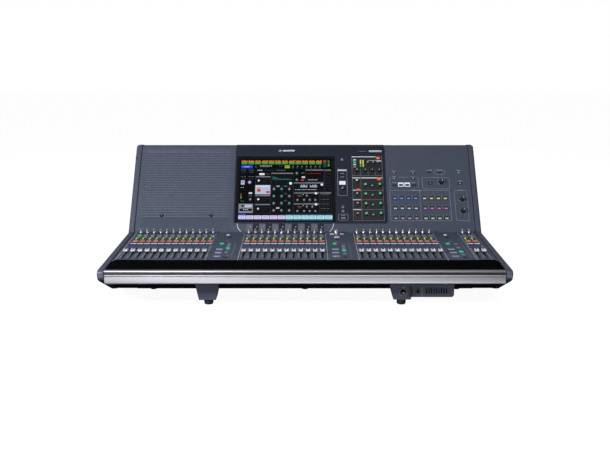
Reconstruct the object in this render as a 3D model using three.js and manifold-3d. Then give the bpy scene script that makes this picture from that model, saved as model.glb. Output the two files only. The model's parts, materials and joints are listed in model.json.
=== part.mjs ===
// A digital mixing console: a sloping fader deck with a display bridge behind it, on two front legs.
// Millimetres, +Z up, +X to the operator's right. The operator stands on the -Y side.
// The origin is on the floor, under the middle of the console's outer box.

import * as THREE from "three";
import { mergeVertices } from "three/addons/utils/BufferGeometryUtils.js";
import Module from "manifold-3d";

const manifold = await Module();
manifold.setup();

// ---------- driving dimensions ----------

const WIDTH = 1145;
const DEPTH = 733;
const HEIGHT = 391;

const GAP = 0.3; // between pieces that touch
const SHEET = 2; // steel sheet
const CHEEK = 18.5; // thickness of a side cheek
const CHEEK_PROUD = 1.5; // how far the cheeks stand over the panels between them
const INSIDE = WIDTH / 2 - CHEEK - GAP; // half the width of what lies between the cheeks

const DECK_SLOPE = THREE.MathUtils.degToRad(1.96);
const BRIDGE_SLOPE = THREE.MathUtils.degToRad(53.07);
const NOSE_Z = 116.2; // height of the deck line over the front edge
const CREASE_Y = 435.4; // where the deck line meets the bridge, behind the front edge
const CREASE_Z = NOSE_Z + CREASE_Y * Math.tan(DECK_SLOPE);
const TOP_FRONT_Y = CREASE_Y + (HEIGHT - CREASE_Z) / Math.tan(BRIDGE_SLOPE);
const TOP_REAR_Y = 668;
const REAR_KNEE_Z = 262;
const REAR_CHAMFER = 28;
const UNDERSIDE_Z = 20;
const UNDERSIDE_FRONT_Y = 158.4;
const NOSE_CHIN_Z = 87.2; // where the sloped underside would meet the front edge

const PAD_BACK_Y = 104; // back edge of the armrest pad
const DECK_FRONT_Y = PAD_BACK_Y + GAP;
const SEAM_Y = 425.6; // seam between the deck and the bridge cover

const FADER_Y = 189.5; // middle of the fader travel, along the deck
const FADER_REST = 187; // where the faders stand at rest
const FADER_TRAVEL = 100;
const FADER_PITCH = 21.14;
const SLOT_WIDTH = 3.2;
const STEM_WIDTH = 2;
const STEM_LENGTH = 8;
const STEM_DROP = 22;
const CAP = { width: 12, length: 22, height: 12.5, lift: 0.8 };
// Each bay is a row of faders: the place of its first fader, and how many there are.
const BAYS = [
  { first: -529, count: 12 },
  { first: -181, count: 12 },
  { first: 167.2, count: 12 },
  { first: 506.8, count: 2 },
];

const TURN_KNOB = { x: 101, y: 416, radius: 7.5, height: 16 };
const PHONES_KNOB = { x: 278, z: 37, radius: 8, height: 13 };
const SHAFT_RADIUS = 3;
const SHAFT_HOLE_RADIUS = 3.5;

// The centre module of the bridge, measured along and up its slope from the crease.
const MODULE = { left: -234, right: 268.5, bottom: 32, top: 317, corner: 8, thick: 3 };
const GLASS = { left: -228, right: 100, bottom: 36.5, top: 282 };
const MODULE_FLANGE = 8;
const LCD_DEPTH = 22;
const USB = { width: 15, height: 7.5, s: 222, xs: [416.9, 450.4] };

// The lower tub under the flat bottom.
const TUB = { halfWidth: 499, front: 185, back: 700, z: 12 };

// The legs, and the headphone box that the right one is made in one with.
const LEG = { x: 276, front: 55, back: 105, z: 15.5, halfFoot: 24.1, flare: 0.216 };
const FOOT = { x: 274, y: 73, radius: 13 };
const PHONES = { left: 248.8, right: 421.5, bottom: 23.5, front: 58, back: 118, corner: 8 };
const JACK = { x: 318.5, z: 40, radius: 3.25, body: 6, depth: 22 };
const SLITS = { count: 9, first: 343.5, pitch: 7, width: 3, bottom: 33.6, top: 51 };
const BODY_FOOT = { radius: 12, y: 231, xs: [-458, 0, 458] };
const REAR_FOOT = { halfLength: 200, y: 652, width: 24 };

// The connector panel in the rear wall.
const PORTS = { left: -264, right: 264, bottom: 82, top: 146, depth: 19 };
const PORT_ROW_Z = (PORTS.bottom + PORTS.top) / 2;
const XLR = { radius: 9.5, depth: 12, first: 28, pitch: 32, count: 4 };
const NETWORK = { width: 14, height: 12, depth: 13, xs: [-62, -24] };
const INLET = { width: 26, height: 18, depth: 15, xs: [-226, -168] };

// ---------- finishes ----------

const FINISHES = {
  cheek: { color: 0x474a59, roughness: 0.55, metalness: 0.1 },
  deck: { color: 0x3c4150, roughness: 0.5, metalness: 0.2 },
  bridge: { color: 0x4c5363, roughness: 0.45, metalness: 0.3 },
  bezel: { color: 0x24272f, roughness: 0.4, metalness: 0.2 },
  chassis: { color: 0x1a1b20, roughness: 0.6, metalness: 0.3 },
  leg: { color: 0x3a3f4d, roughness: 0.5, metalness: 0.2 },
  trim: { color: 0xc9c9cc, roughness: 0.25, metalness: 1 },
  pad: { color: 0x0b0c0b, roughness: 0.8, metalness: 0 },
  rubber: { color: 0x0c0c0d, roughness: 0.9, metalness: 0 },
  screen: { color: 0x05060a, roughness: 0.05, metalness: 0 },
  cap: { color: 0xb9bbc2, roughness: 0.35, metalness: 0 },
  knob: { color: 0xa9abb4, roughness: 0.35, metalness: 0.3 },
  board: { color: 0x1d5a35, roughness: 0.6, metalness: 0 },
  supply: { color: 0xa8abad, roughness: 0.4, metalness: 0.9 },
};

// ---------- outlines: lists of [across, up] points ----------

const ARC_STEP = THREE.MathUtils.degToRad(15);

// Replaces each corner [u, v, radius] by an arc. An open outline keeps its two ends as they are.
function rounded(corners, closed) {
  const points = [];
  corners.forEach(([u, v, radius = 0], i) => {
    const corner = new THREE.Vector2(u, v);
    const isEnd = !closed && (i === 0 || i === corners.length - 1);
    if (isEnd || radius === 0) {
      points.push(corner);
      return;
    }
    const before = corners[(i + corners.length - 1) % corners.length];
    const after = corners[(i + 1) % corners.length];
    const inward = new THREE.Vector2(before[0] - u, before[1] - v).normalize();
    const onward = new THREE.Vector2(after[0] - u, after[1] - v).normalize();
    const turn = Math.PI - Math.acos(inward.dot(onward));
    const tangent = radius * Math.tan(turn / 2);
    const start = corner.clone().addScaledVector(inward, tangent);
    const bisector = inward.clone().add(onward).normalize();
    const centre = corner.clone().addScaledVector(bisector, radius / Math.cos(turn / 2));
    const side = Math.sign(onward.cross(inward));
    const steps = Math.max(2, Math.ceil(turn / ARC_STEP));
    for (let k = 0; k <= steps; k += 1) {
      points.push(start.clone().rotateAround(centre, (side * turn * k) / steps));
    }
  });
  return points;
}

// Moves an outline sideways, to the right of its direction of travel.
function offset(points, distance, closed) {
  const last = points.length - 1;
  return points.map((point, i) => {
    const before = points[i === 0 ? (closed ? last : 0) : i - 1];
    const after = points[i === last ? (closed ? 0 : last) : i + 1];
    const arriving = point.clone().sub(before).normalize();
    const leaving = after.clone().sub(point).normalize();
    const normals = [arriving, leaving]
      .filter((direction) => direction.lengthSq() > 0)
      .map((direction) => new THREE.Vector2(direction.y, -direction.x));
    const mitre = normals[0].clone().add(normals[normals.length - 1]).normalize();
    return point.clone().addScaledVector(mitre, distance / mitre.dot(normals[0]));
  });
}

// The closed outline of a folded sheet whose outer face follows the path.
function sheetOutline(path, thickness) {
  return [...path, ...offset(path, thickness, false).reverse()];
}

function rectangle(left, bottom, right, top) {
  return [
    new THREE.Vector2(left, bottom),
    new THREE.Vector2(right, bottom),
    new THREE.Vector2(right, top),
    new THREE.Vector2(left, top),
  ];
}

function circle(x, y, radius, sides = 16) {
  return new THREE.EllipseCurve(x, y, radius, radius).getPoints(sides).slice(0, sides);
}

// ---------- solids ----------

// A plate: the outline lies in X and Y, and the thickness runs from bottom to top.
function plate(outline, bottom, top, holes = [], bevel = 0) {
  const shape = new THREE.Shape(outline);
  holes.forEach((hole) => shape.holes.push(new THREE.Path(hole)));
  const geometry = new THREE.ExtrudeGeometry(shape, {
    depth: top - bottom - 2 * bevel,
    bevelEnabled: bevel > 0,
    bevelThickness: bevel,
    bevelSize: bevel,
    bevelOffset: -bevel,
    bevelSegments: 2,
  });
  return geometry.translate(0, 0, bottom + bevel);
}

// A bar along X: the outline lies in Y and Z.
function bar(outline, left, right, holes = [], bevel = 0) {
  const turn = new THREE.Matrix4().makeBasis(
    new THREE.Vector3(0, 1, 0),
    new THREE.Vector3(0, 0, 1),
    new THREE.Vector3(1, 0, 0),
  );
  return plate(outline, left, right, holes, bevel).applyMatrix4(turn);
}

// A block along Y: the outline lies in X and Z, and the block runs from front to back.
function block(outline, front, back, holes = []) {
  return plate(outline, -back, -front, holes).applyMatrix4(new THREE.Matrix4().makeRotationX(Math.PI / 2));
}

function box(x0, y0, z0, x1, y1, z1) {
  return new THREE.BoxGeometry(x1 - x0, y1 - y0, z1 - z0).translate((x0 + x1) / 2, (y0 + y1) / 2, (z0 + z1) / 2);
}

// A turned piece about Z. The profile is a list of [radius, height], from the axis back to the axis.
function turned(profile, sides) {
  return new THREE.LatheGeometry(
    profile.map(([radius, height]) => new THREE.Vector2(radius, height)),
    sides,
  ).rotateX(Math.PI / 2);
}

function solid(geometry) {
  const bare = geometry.clone();
  bare.deleteAttribute("normal");
  bare.deleteAttribute("uv");
  const merged = mergeVertices(bare, 1e-4);
  return new manifold.Manifold(
    new manifold.Mesh({
      numProp: 3,
      vertProperties: merged.attributes.position.array,
      triVerts: new Uint32Array(merged.index.array),
    }),
  );
}

function geometryOf(made) {
  const { vertProperties, triVerts } = made.getMesh();
  return new THREE.BufferGeometry()
    .setAttribute("position", new THREE.BufferAttribute(vertProperties, 3))
    .setIndex(new THREE.BufferAttribute(triVerts, 1));
}

// Joins the geometries in the first list and cuts away those in the second.
function shaped(kept, cut = []) {
  const joined = kept.map(solid).reduce((whole, piece) => whole.add(piece));
  return geometryOf(cut.map(solid).reduce((whole, piece) => whole.subtract(piece), joined));
}

function piece(name, geometry, finish) {
  const material = new THREE.MeshStandardMaterial({ ...FINISHES[finish], flatShading: true });
  const mesh = new THREE.Mesh(geometry, material);
  mesh.name = name;
  return mesh;
}

// ---------- the side profile ----------

// Clockwise from the nose: [behind the front edge, height, corner radius].
const SIDE = [
  [0, NOSE_Z, 12.5],
  [CREASE_Y, CREASE_Z, 3],
  [TOP_FRONT_Y, HEIGHT, 11.3],
  [TOP_REAR_Y, HEIGHT, 12],
  [DEPTH, REAR_KNEE_Z, 20],
  [DEPTH, UNDERSIDE_Z + REAR_CHAMFER, 10],
  [DEPTH - REAR_CHAMFER, UNDERSIDE_Z, 10],
  [UNDERSIDE_FRONT_Y, UNDERSIDE_Z, 12],
  [0, NOSE_CHIN_Z, 24],
];

// The same corners for the panels, set in from the cheeks' edge.
const PANEL_CORNERS = offset(
  SIDE.map(([y, z]) => new THREE.Vector2(y, z)),
  CHEEK_PROUD,
  true,
).map(({ x, y }) => [x, y]);
const [, CREASE, TOP_FRONT, TOP_REAR, REAR_KNEE, REAR_LOW, BOTTOM_REAR, BOTTOM_FRONT, CHIN] = PANEL_CORNERS;

const mix = (from, to, share) => from.map((value, i) => value + (to[i] - value) * share);

// Height of the panels' sloped underside at a distance behind the front edge.
function chinHeight(y) {
  return CHIN[1] + ((BOTTOM_FRONT[1] - CHIN[1]) * (y - CHIN[0])) / (BOTTOM_FRONT[0] - CHIN[0]);
}

// Everything above the sloped underside, to trim the tops of the legs.
function spaceAboveUnderside() {
  const near = 20;
  const far = BOTTOM_FRONT[0];
  const outline = [
    new THREE.Vector2(near, chinHeight(near) - GAP),
    new THREE.Vector2(far, chinHeight(far) - GAP),
    new THREE.Vector2(far, HEIGHT),
    new THREE.Vector2(near, HEIGHT),
  ];
  return bar(outline, -WIDTH / 2, WIDTH / 2);
}

// ---------- casing ----------

function cheek(name, left) {
  const bevel = 3;
  return piece(name, bar(rounded(SIDE, true), left, left + CHEEK, [], bevel), "cheek");
}

// Folded from the rear wall, under the floor, up the sloped underside and over the shelf for the pad.
function chassisTub() {
  const wallY = 12.5;
  const shelfFront = 102.5;
  const shelfBack = 105.7;
  const lipY = PAD_BACK_Y + 1.5;
  const foldY = 26;
  const path = rounded(
    [
      REAR_KNEE,
      [...REAR_LOW, 8],
      [...BOTTOM_REAR, 8],
      [...BOTTOM_FRONT, 10],
      [foldY, chinHeight(foldY), 10],
      [wallY, 84, 3],
      [wallY, shelfFront, 3],
      [lipY, shelfBack, 3],
      [lipY, 115.8],
    ],
    false,
  );
  const { halfWidth, front, back, z } = TUB;
  const pressed = 12; // slope of the pressed tub's ends
  const outer = rounded(
    [
      [front, UNDERSIDE_Z + SHEET + CHEEK_PROUD],
      [front + 2, z, 3],
      [back - pressed, z, 3],
      [back, UNDERSIDE_Z + SHEET + CHEEK_PROUD],
    ].reverse(),
    false,
  );
  const inner = offset(outer, SHEET, false).map(({ x, y }) => new THREE.Vector2(x, y));
  inner[0].y = UNDERSIDE_Z + 4 * SHEET;
  inner[inner.length - 1].y = UNDERSIDE_Z + 4 * SHEET;
  const wall = block(
    rectangle(PORTS.left - GAP, PORTS.bottom - GAP, PORTS.right + GAP, PORTS.top + GAP),
    DEPTH - 4 * SHEET,
    DEPTH + SHEET,
  );
  const geometry = shaped(
    [bar(sheetOutline(path, SHEET), -INSIDE, INSIDE), bar(outer, -halfWidth, halfWidth)],
    [bar(inner, SHEET - halfWidth, halfWidth - SHEET), wall],
  );
  return piece("chassis_tub", geometry, "chassis");
}

// Folded from the crease up the bridge, over the top and down the back, with a window for the centre module.
function bridgeCover() {
  const seam = [SEAM_Y + GAP, CREASE[1] - (CREASE[0] - SEAM_Y - GAP) * Math.tan(DECK_SLOPE)];
  const path = rounded(
    [seam, [...CREASE, 12], [...TOP_FRONT, 10], [...TOP_REAR, 10.5], mix(TOP_REAR, REAR_KNEE, 0.985)],
    false,
  );
  const cutters = new THREE.Group();
  cutters.position.set(0, CREASE_Y, CREASE_Z);
  cutters.rotation.x = BRIDGE_SLOPE;
  cutters.updateMatrix();
  const reach = 10;
  const window = box(
    MODULE.left + MODULE_FLANGE,
    MODULE.bottom + MODULE_FLANGE,
    -reach,
    MODULE.right - MODULE_FLANGE,
    MODULE.top - MODULE_FLANGE,
    reach,
  );
  const usbHoles = USB.xs.map((x) =>
    box(x - USB.width / 2, USB.s - USB.height / 2, -reach, x + USB.width / 2, USB.s + USB.height / 2, reach),
  );
  const cut = [window, ...usbHoles].map((cutter) => cutter.applyMatrix4(cutters.matrix));
  return piece("bridge_cover", shaped([bar(sheetOutline(path, SHEET), -INSIDE, INSIDE)], cut), "bridge");
}

// The connector panel: a plate in the rear wall's window, with the connector bodies behind it.
function ioPanel() {
  const face = DEPTH - CHEEK_PROUD;
  const back = face - PORTS.depth;
  const margin = 4;
  const row = (z, height) => [z - height / 2, z + height / 2];
  const slot = (x, width, height, depth) => {
    const [bottom, top] = row(PORT_ROW_Z, height);
    return box(x - width / 2, face - depth, bottom, x + width / 2, face + margin, top);
  };
  const holes = [
    ...INLET.xs.map((x) => slot(x, INLET.width, INLET.height, INLET.depth)),
    ...NETWORK.xs.map((x) => slot(x, NETWORK.width, NETWORK.height, NETWORK.depth)),
    ...Array.from({ length: XLR.count }, (_, i) =>
      block(circle(XLR.first + i * XLR.pitch, PORT_ROW_Z, XLR.radius), face - XLR.depth, face + margin),
    ),
  ];
  const [bodyBottom, bodyTop] = row(PORT_ROW_Z, 30);
  const bodies = box(PORTS.left + margin, back, bodyBottom, PORTS.right - margin, face - 1, bodyTop);
  const front = box(PORTS.left, face - SHEET, PORTS.bottom, PORTS.right, face, PORTS.top);
  return piece("io_panel", shaped([front, bodies], holes), "chassis");
}

// ---------- armrest and front trim ----------

function armrestPad() {
  const outline = rounded(
    [
      [12.6, 103.3],
      [12.6, 117.5, 3],
      [PAD_BACK_Y, 120.8, 2],
      [PAD_BACK_Y, 106.1],
    ],
    true,
  );
  return piece("armrest_pad", bar(outline, GAP - INSIDE, INSIDE - GAP), "pad");
}

// An aluminium extrusion with a finger slot, a bright lip and a rolled lower edge.
function frontTrim() {
  const outline = [
    ...rounded(
      [
        [14.5, 73.6],
        [5.5, 76.8],
        [0.6, 84, 6],
        [0.6, 97.9],
      ],
      false,
    ),
    ...rounded(
      [
        [1.7, 98.1],
        [1.7, 98.9],
        [0.6, 99.3],
        [1.1, 104, 0.5],
        [5.4, 104.2],
        [5.4, 109.6],
        [2.4, 109.8],
        [6, 115.2, 4],
        [12.2, 116.4],
      ],
      false,
    ),
    new THREE.Vector2(12.2, 79.2),
    new THREE.Vector2(14.9, 75.6),
  ];
  const hollow = rectangle(4, 84, 10.2, 101.5);
  return piece("front_trim", bar(outline, -INSIDE, INSIDE, [hollow]), "trim");
}

// ---------- legs, headphone box and feet ----------

// A leg's front, flaring upwards, as a closed outline.
function legOutline(x, wall) {
  const height = 60;
  const foot = LEG.halfFoot - wall;
  const head = foot + LEG.flare * height;
  return [
    new THREE.Vector2(x - foot, LEG.z + wall),
    new THREE.Vector2(x + foot, LEG.z + wall),
    new THREE.Vector2(x + head, LEG.z + height),
    new THREE.Vector2(x - head, LEG.z + height),
  ];
}

function leftLeg() {
  const wall = 2.5;
  const geometry = shaped(
    [block(legOutline(-LEG.x, 0), LEG.front, LEG.back)],
    [block(legOutline(-LEG.x, wall), LEG.front + wall, LEG.back + wall), spaceAboveUnderside()],
  );
  return piece("left_leg", geometry, "leg");
}

// The right leg carries the headphone box: a slotted shell with the jack's body inside.
function headphoneBox() {
  const { left, right, bottom, front, back, corner } = PHONES;
  const top = bottom + 40;
  const lean = 10.6;
  const shell = (wall) =>
    rounded(
      [
        [left + wall, bottom + wall],
        [right - wall, bottom + wall, corner - wall],
        [right - wall, top],
        [left + wall - lean, top],
      ],
      true,
    );
  const flange = [
    new THREE.Vector2(left + 2, LEG.z),
    new THREE.Vector2(left + 50.7, LEG.z),
    new THREE.Vector2(left + 52.6, bottom + 1),
    new THREE.Vector2(left, bottom + 1),
  ];
  const slits = Array.from({ length: SLITS.count }, (_, i) => {
    const x = SLITS.first + i * SLITS.pitch;
    const half = SLITS.width / 2;
    return block(rectangle(x - half, SLITS.bottom, x + half, SLITS.top), front - SHEET, front + 2 * SHEET);
  });
  const knobHole = block(circle(PHONES_KNOB.x, PHONES_KNOB.z, SHAFT_HOLE_RADIUS), front - SHEET, front + 2 * SHEET);
  const jackHole = block(circle(JACK.x, JACK.z, JACK.radius), front - SHEET, front + JACK.depth);
  const hollowed = shaped(
    [block(shell(0), front, back), block(flange, front + SHEET, back - 2 * SHEET)],
    [block(shell(SHEET), front + SHEET, back - SHEET), spaceAboveUnderside()],
  );
  const jackBody = block(circle(JACK.x, JACK.z, JACK.body), front + SHEET / 2, front + JACK.depth + SHEET);
  const geometry = shaped([hollowed, jackBody], [...slits, knobHole, jackHole, spaceAboveUnderside()]);
  return piece("headphone_box", geometry, "leg");
}

function roundFoot(name, x, y, radius, top) {
  const profile = [
    [0, 0],
    [radius - 3, 0],
    [radius - 0.8, 1.5],
    [radius, 4],
    [radius, top - GAP],
    [0, top - GAP],
  ];
  return piece(name, turned(profile, 24).translate(x, y, 0), "rubber");
}

function feet() {
  const names = ["left_body_foot", "centre_body_foot", "right_body_foot"];
  const bodyFeet = names.map((name, i) => roundFoot(name, BODY_FOOT.xs[i], BODY_FOOT.y, BODY_FOOT.radius, TUB.z));
  const { halfLength, y, width } = REAR_FOOT;
  const strip = plate(
    rounded(
      [
        [-halfLength, y - width / 2, 6],
        [halfLength, y - width / 2, 6],
        [halfLength, y + width / 2, 6],
        [-halfLength, y + width / 2, 6],
      ],
      true,
    ),
    0,
    TUB.z - GAP,
  );
  return [
    roundFoot("left_front_foot", -FOOT.x, FOOT.y, FOOT.radius, LEG.z),
    roundFoot("right_front_foot", FOOT.x, FOOT.y, FOOT.radius, LEG.z),
    ...bodyFeet,
    piece("rear_foot", strip, "rubber"),
  ];
}

// ---------- knobs ----------

// A knob with its shaft, about Z, standing on z = 0.
function knob(radius, height) {
  const drop = 9;
  return turned(
    [
      [0, -drop],
      [SHAFT_RADIUS, -drop],
      [SHAFT_RADIUS, 0.5],
      [radius, 0.5],
      [radius, 3],
      [radius - 1.2, 3.6],
      [radius - 1.8, height - 1.2],
      [radius - 2.8, height],
      [0, height],
    ],
    24,
  );
}

function phonesKnob() {
  const geometry = knob(PHONES_KNOB.radius, PHONES_KNOB.height)
    .rotateX(Math.PI / 2)
    .translate(PHONES_KNOB.x, PHONES.front, PHONES_KNOB.z);
  return piece("phones_knob", geometry, "knob");
}

// ---------- inside ----------

function mainBoard() {
  const y0 = 250;
  const y1 = 520;
  const z = 32;
  const halfWidth = 440;
  const postTop = z + 0.5;
  const posts = [-400, -130, 130, 400].flatMap((x) =>
    [y0 + 20, y1 - 20].map((y) => box(x - 4, y - 4, TUB.z + SHEET + GAP, x + 4, y + 4, postTop)),
  );
  const heatSink = box(-90, 340, z + 1, 30, 430, z + 26);
  const chips = [-360, -260, 140, 240, 340].map((x) => box(x, 330, z + 1, x + 40, 370, z + 5));
  const header = box(-420, y1 - 26, z + 1, 420, y1 - 12, z + 14);
  const board = box(-halfWidth, y0, z, halfWidth, y1, z + 1.6);
  return piece("main_board", shaped([board, ...posts, heatSink, ...chips, header]), "board");
}

function powerSupply() {
  const x0 = -430;
  const y0 = 560;
  const z0 = TUB.z + SHEET + GAP;
  const length = 240;
  const width = 120;
  const height = 52;
  const terminal = box(x0 + length - 1, y0 + 20, z0 + 8, x0 + length + 14, y0 + 100, z0 + 26);
  const fan = plate(circle(x0 + 70, y0 + 60, 30, 24), z0 + height - 1, z0 + height + 12);
  const can = box(x0, y0, z0, x0 + length, y0 + width, z0 + height);
  return piece("power_supply", shaped([can, fan, terminal]), "supply");
}

// ---------- the deck: its own frame starts over the front edge and slopes up towards the bridge ----------

const faderPlaces = BAYS.flatMap(({ first, count }) =>
  Array.from({ length: count }, (_, i) => first + i * FADER_PITCH),
);

// A fader slot: a long rectangle with its corners cut off.
function slotOutline(x) {
  const half = SLOT_WIDTH / 2;
  const reach = (FADER_TRAVEL + STEM_LENGTH) / 2 + 1.5;
  const cut = half * 0.6;
  const quarter = [
    [half, reach - cut],
    [half - cut, reach],
  ];
  const right = [...quarter.map(([u, v]) => [u, -v]).reverse(), ...quarter];
  const left = right.map(([u, v]) => [-u, v]).reverse();
  return [...right, ...left].map(([u, v]) => new THREE.Vector2(x + u, FADER_Y + v));
}

function faderDeck() {
  const top = -CHEEK_PROUD;
  const holes = faderPlaces.map(slotOutline);
  holes.push(circle(TURN_KNOB.x, TURN_KNOB.y, SHAFT_HOLE_RADIUS));
  const outline = rectangle(-INSIDE, DECK_FRONT_Y, INSIDE, SEAM_Y);
  return piece("fader_deck", plate(outline, top - SHEET, top, holes), "deck");
}

// A fader: a dished cap with two raised ends, on the stem that runs in the slot.
function faderGeometry() {
  const base = CAP.lift - CHEEK_PROUD;
  const top = base + CAP.height;
  const end = CAP.length / 2;
  const outline = [
    [end, base],
    [end, base + 3],
    [end - 2, top - 1.4],
    [end - 3.6, top],
    [3, top - 2.1],
    [0, top - 2.5],
    [-3, top - 2.1],
    [3.6 - end, top],
    [2 - end, top - 1.4],
    [-end, base + 3],
    [-end, base],
  ].map(([u, v]) => new THREE.Vector2(u, v));
  const cap = bar(outline, -CAP.width / 2, CAP.width / 2);
  const half = STEM_WIDTH / 2;
  const stem = box(-half, -STEM_LENGTH / 2, base - STEM_DROP, half, STEM_LENGTH / 2, base + 1);
  return shaped([cap, stem]);
}

function deckGroup() {
  const group = new THREE.Group();
  group.position.z = NOSE_Z;
  group.rotation.x = DECK_SLOPE;
  group.add(faderDeck());
  const fader = faderGeometry();
  faderPlaces.forEach((x, i) => {
    const mesh = piece(`fader_${String(i + 1).padStart(2, "0")}`, fader, "cap");
    mesh.position.set(x, FADER_REST, 0);
    group.add(mesh);
  });
  const turnKnob = piece("touch_turn_knob", knob(TURN_KNOB.radius, TURN_KNOB.height), "knob");
  turnKnob.position.set(TURN_KNOB.x, TURN_KNOB.y, -CHEEK_PROUD);
  group.add(turnKnob);
  return group;
}

// ---------- the bridge's centre module: its own frame starts at the crease and slopes up ----------

function moduleBezel() {
  const { left, right, bottom, top, corner, thick } = MODULE;
  const outline = rounded(
    [
      [left, bottom, corner],
      [right, bottom, corner],
      [right, top, 1],
      [left, top, 1],
    ],
    true,
  );
  const window = rectangle(GLASS.left - GAP, GLASS.bottom - GAP, GLASS.right + GAP, GLASS.top + GAP);
  const under = GAP - CHEEK_PROUD;
  return piece("centre_bezel", plate(outline, under, under + thick, [window]), "bezel");
}

function touchScreen() {
  const { left, right, bottom, top } = GLASS;
  const face = GAP - CHEEK_PROUD + MODULE.thick - GAP;
  const back = GAP - CHEEK_PROUD;
  const edge = 8;
  const glass = box(left, bottom, back, right, top, face);
  const panel = box(left + edge, bottom + edge, back - LCD_DEPTH, right - edge, top - edge, back + 1);
  return piece("touch_screen", shaped([glass, panel]), "screen");
}

function bridgeGroup() {
  const group = new THREE.Group();
  group.position.set(0, CREASE_Y, CREASE_Z);
  group.rotation.x = BRIDGE_SLOPE;
  group.add(moduleBezel(), touchScreen());
  return group;
}

// ---------- assembly ----------

const mixingConsole = new THREE.Group();
mixingConsole.position.y = -DEPTH / 2; // the parts above are measured from the front edge
mixingConsole.add(
  cheek("left_cheek", -WIDTH / 2),
  cheek("right_cheek", WIDTH / 2 - CHEEK),
  chassisTub(),
  bridgeCover(),
  ioPanel(),
  armrestPad(),
  frontTrim(),
  leftLeg(),
  headphoneBox(),
  ...feet(),
  phonesKnob(),
  mainBoard(),
  powerSupply(),
  deckGroup(),
  bridgeGroup(),
);

export default mixingConsole;
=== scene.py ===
# The looks of a digital mixing console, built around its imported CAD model.
# Shapes are in millimetres, and a piece is scaled to metres when it is made.
# +Z is up, +X is the operator's right, and the operator stands on the -Y side.

import json
import math

import bpy
from mathutils import Matrix, Vector


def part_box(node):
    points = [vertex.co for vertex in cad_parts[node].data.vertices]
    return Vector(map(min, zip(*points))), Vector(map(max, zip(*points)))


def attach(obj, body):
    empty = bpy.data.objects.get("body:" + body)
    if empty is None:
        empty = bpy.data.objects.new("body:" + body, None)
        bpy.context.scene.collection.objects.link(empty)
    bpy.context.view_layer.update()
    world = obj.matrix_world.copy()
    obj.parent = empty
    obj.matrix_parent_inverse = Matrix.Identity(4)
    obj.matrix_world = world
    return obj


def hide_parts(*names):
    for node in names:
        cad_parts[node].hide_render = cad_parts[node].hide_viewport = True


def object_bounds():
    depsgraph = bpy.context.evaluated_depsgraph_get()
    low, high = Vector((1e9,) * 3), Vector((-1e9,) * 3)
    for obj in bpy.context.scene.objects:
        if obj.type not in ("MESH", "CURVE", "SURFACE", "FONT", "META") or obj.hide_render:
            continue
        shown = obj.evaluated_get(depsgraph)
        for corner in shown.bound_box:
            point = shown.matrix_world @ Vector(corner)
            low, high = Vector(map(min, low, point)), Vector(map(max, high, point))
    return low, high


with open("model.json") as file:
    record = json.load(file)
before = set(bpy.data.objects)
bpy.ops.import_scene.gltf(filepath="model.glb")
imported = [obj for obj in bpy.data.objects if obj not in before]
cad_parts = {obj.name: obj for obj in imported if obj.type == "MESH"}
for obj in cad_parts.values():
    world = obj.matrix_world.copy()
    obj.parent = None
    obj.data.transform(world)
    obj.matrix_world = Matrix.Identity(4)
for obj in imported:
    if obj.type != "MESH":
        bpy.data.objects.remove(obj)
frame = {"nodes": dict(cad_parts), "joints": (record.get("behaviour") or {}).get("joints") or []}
cad_low, cad_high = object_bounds()

MM = 0.001
BODY = "console"
ORIGIN = Matrix.Identity(4)


# ---------- places worked out from the frame ----------


def box_of(node):
    """A CAD node's lowest and highest corner."""
    low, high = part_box(node)
    return low / MM, high / MM


def middle_of(node):
    low, high = box_of(node)
    return (low + high) / 2


def facing(origin, right, up):
    """A flat working place: across is right, along is up, and height is out of the surface."""
    across = Vector(right).normalized()
    along = Vector(up).normalized()
    turned_to = Matrix((across, along, across.cross(along))).transposed().to_4x4()
    return Matrix.Translation(origin) @ turned_to


def spot(place, x=0.0, y=0.0, z=0.0, turn=0.0):
    """A place on a place: moved, then turned about its own height."""
    return place @ Matrix.Translation((x, y, z)) @ Matrix.Rotation(turn, 4, "Z")


HALF_WIDTH = cad_high.x / MM
FRONT = cad_low.y / MM
BACK = cad_high.y / MM
DEPTH = BACK - FRONT
HEIGHT = cad_high.z / MM
INSIDE = box_of("fader_deck")[1].x  # half the width between the cheeks
SET_IN = 1.5  # how far the panels lie below the cheeks' edge
JOINT = 1.8  # width of the dark joint between a cheek and the pieces beside it

slide = next(joint for joint in frame["joints"] if joint["name"] == "fader_01_slide")
DECK_SLOPE = math.atan2(slide["axis"][2], slide["axis"][1])
BRIDGE_SLOPE = math.radians(53.07)
DECK_UP = Vector((math.cos(DECK_SLOPE), math.sin(DECK_SLOPE)))
BRIDGE_UP = Vector((math.cos(BRIDGE_SLOPE), math.sin(BRIDGE_SLOPE)))
NOSE_Z = 116.2
CREASE_Y = 435.4  # the crease between deck and bridge, behind the front edge
CREASE_Z = NOSE_Z + CREASE_Y * math.tan(DECK_SLOPE)
CREASE_RADIUS = 12

# The working places. On the slopes, x is across and y is the way up the slope.
DECK = spot(facing((0, FRONT, NOSE_Z), (1, 0, 0), (0, *DECK_UP)), z=-SET_IN)
BRIDGE = spot(facing((0, FRONT + CREASE_Y, CREASE_Z), (1, 0, 0), (0, *BRIDGE_UP)), z=-SET_IN)
MODULE_FACE = 3.3  # the centre module over the bridge panel
GLASS_FACE = 3.0
MODULE = spot(BRIDGE, z=MODULE_FACE)
GLASS = spot(BRIDGE, z=GLASS_FACE)
REAR = facing((0, BACK - SET_IN, 0), (-1, 0, 0), (0, 0, 1))
PHONES_FRONT = facing((0, box_of("headphone_box")[0].y, 0), (1, 0, 0), (0, 0, 1))

MODULE_BOTTOM, MODULE_TOP = 32.0, 317.0
GLASS_BOTTOM, GLASS_TOP = 36.5, 282.0
USB_XS = (416.9, 450.4)
USB_Y = 222.0

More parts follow.
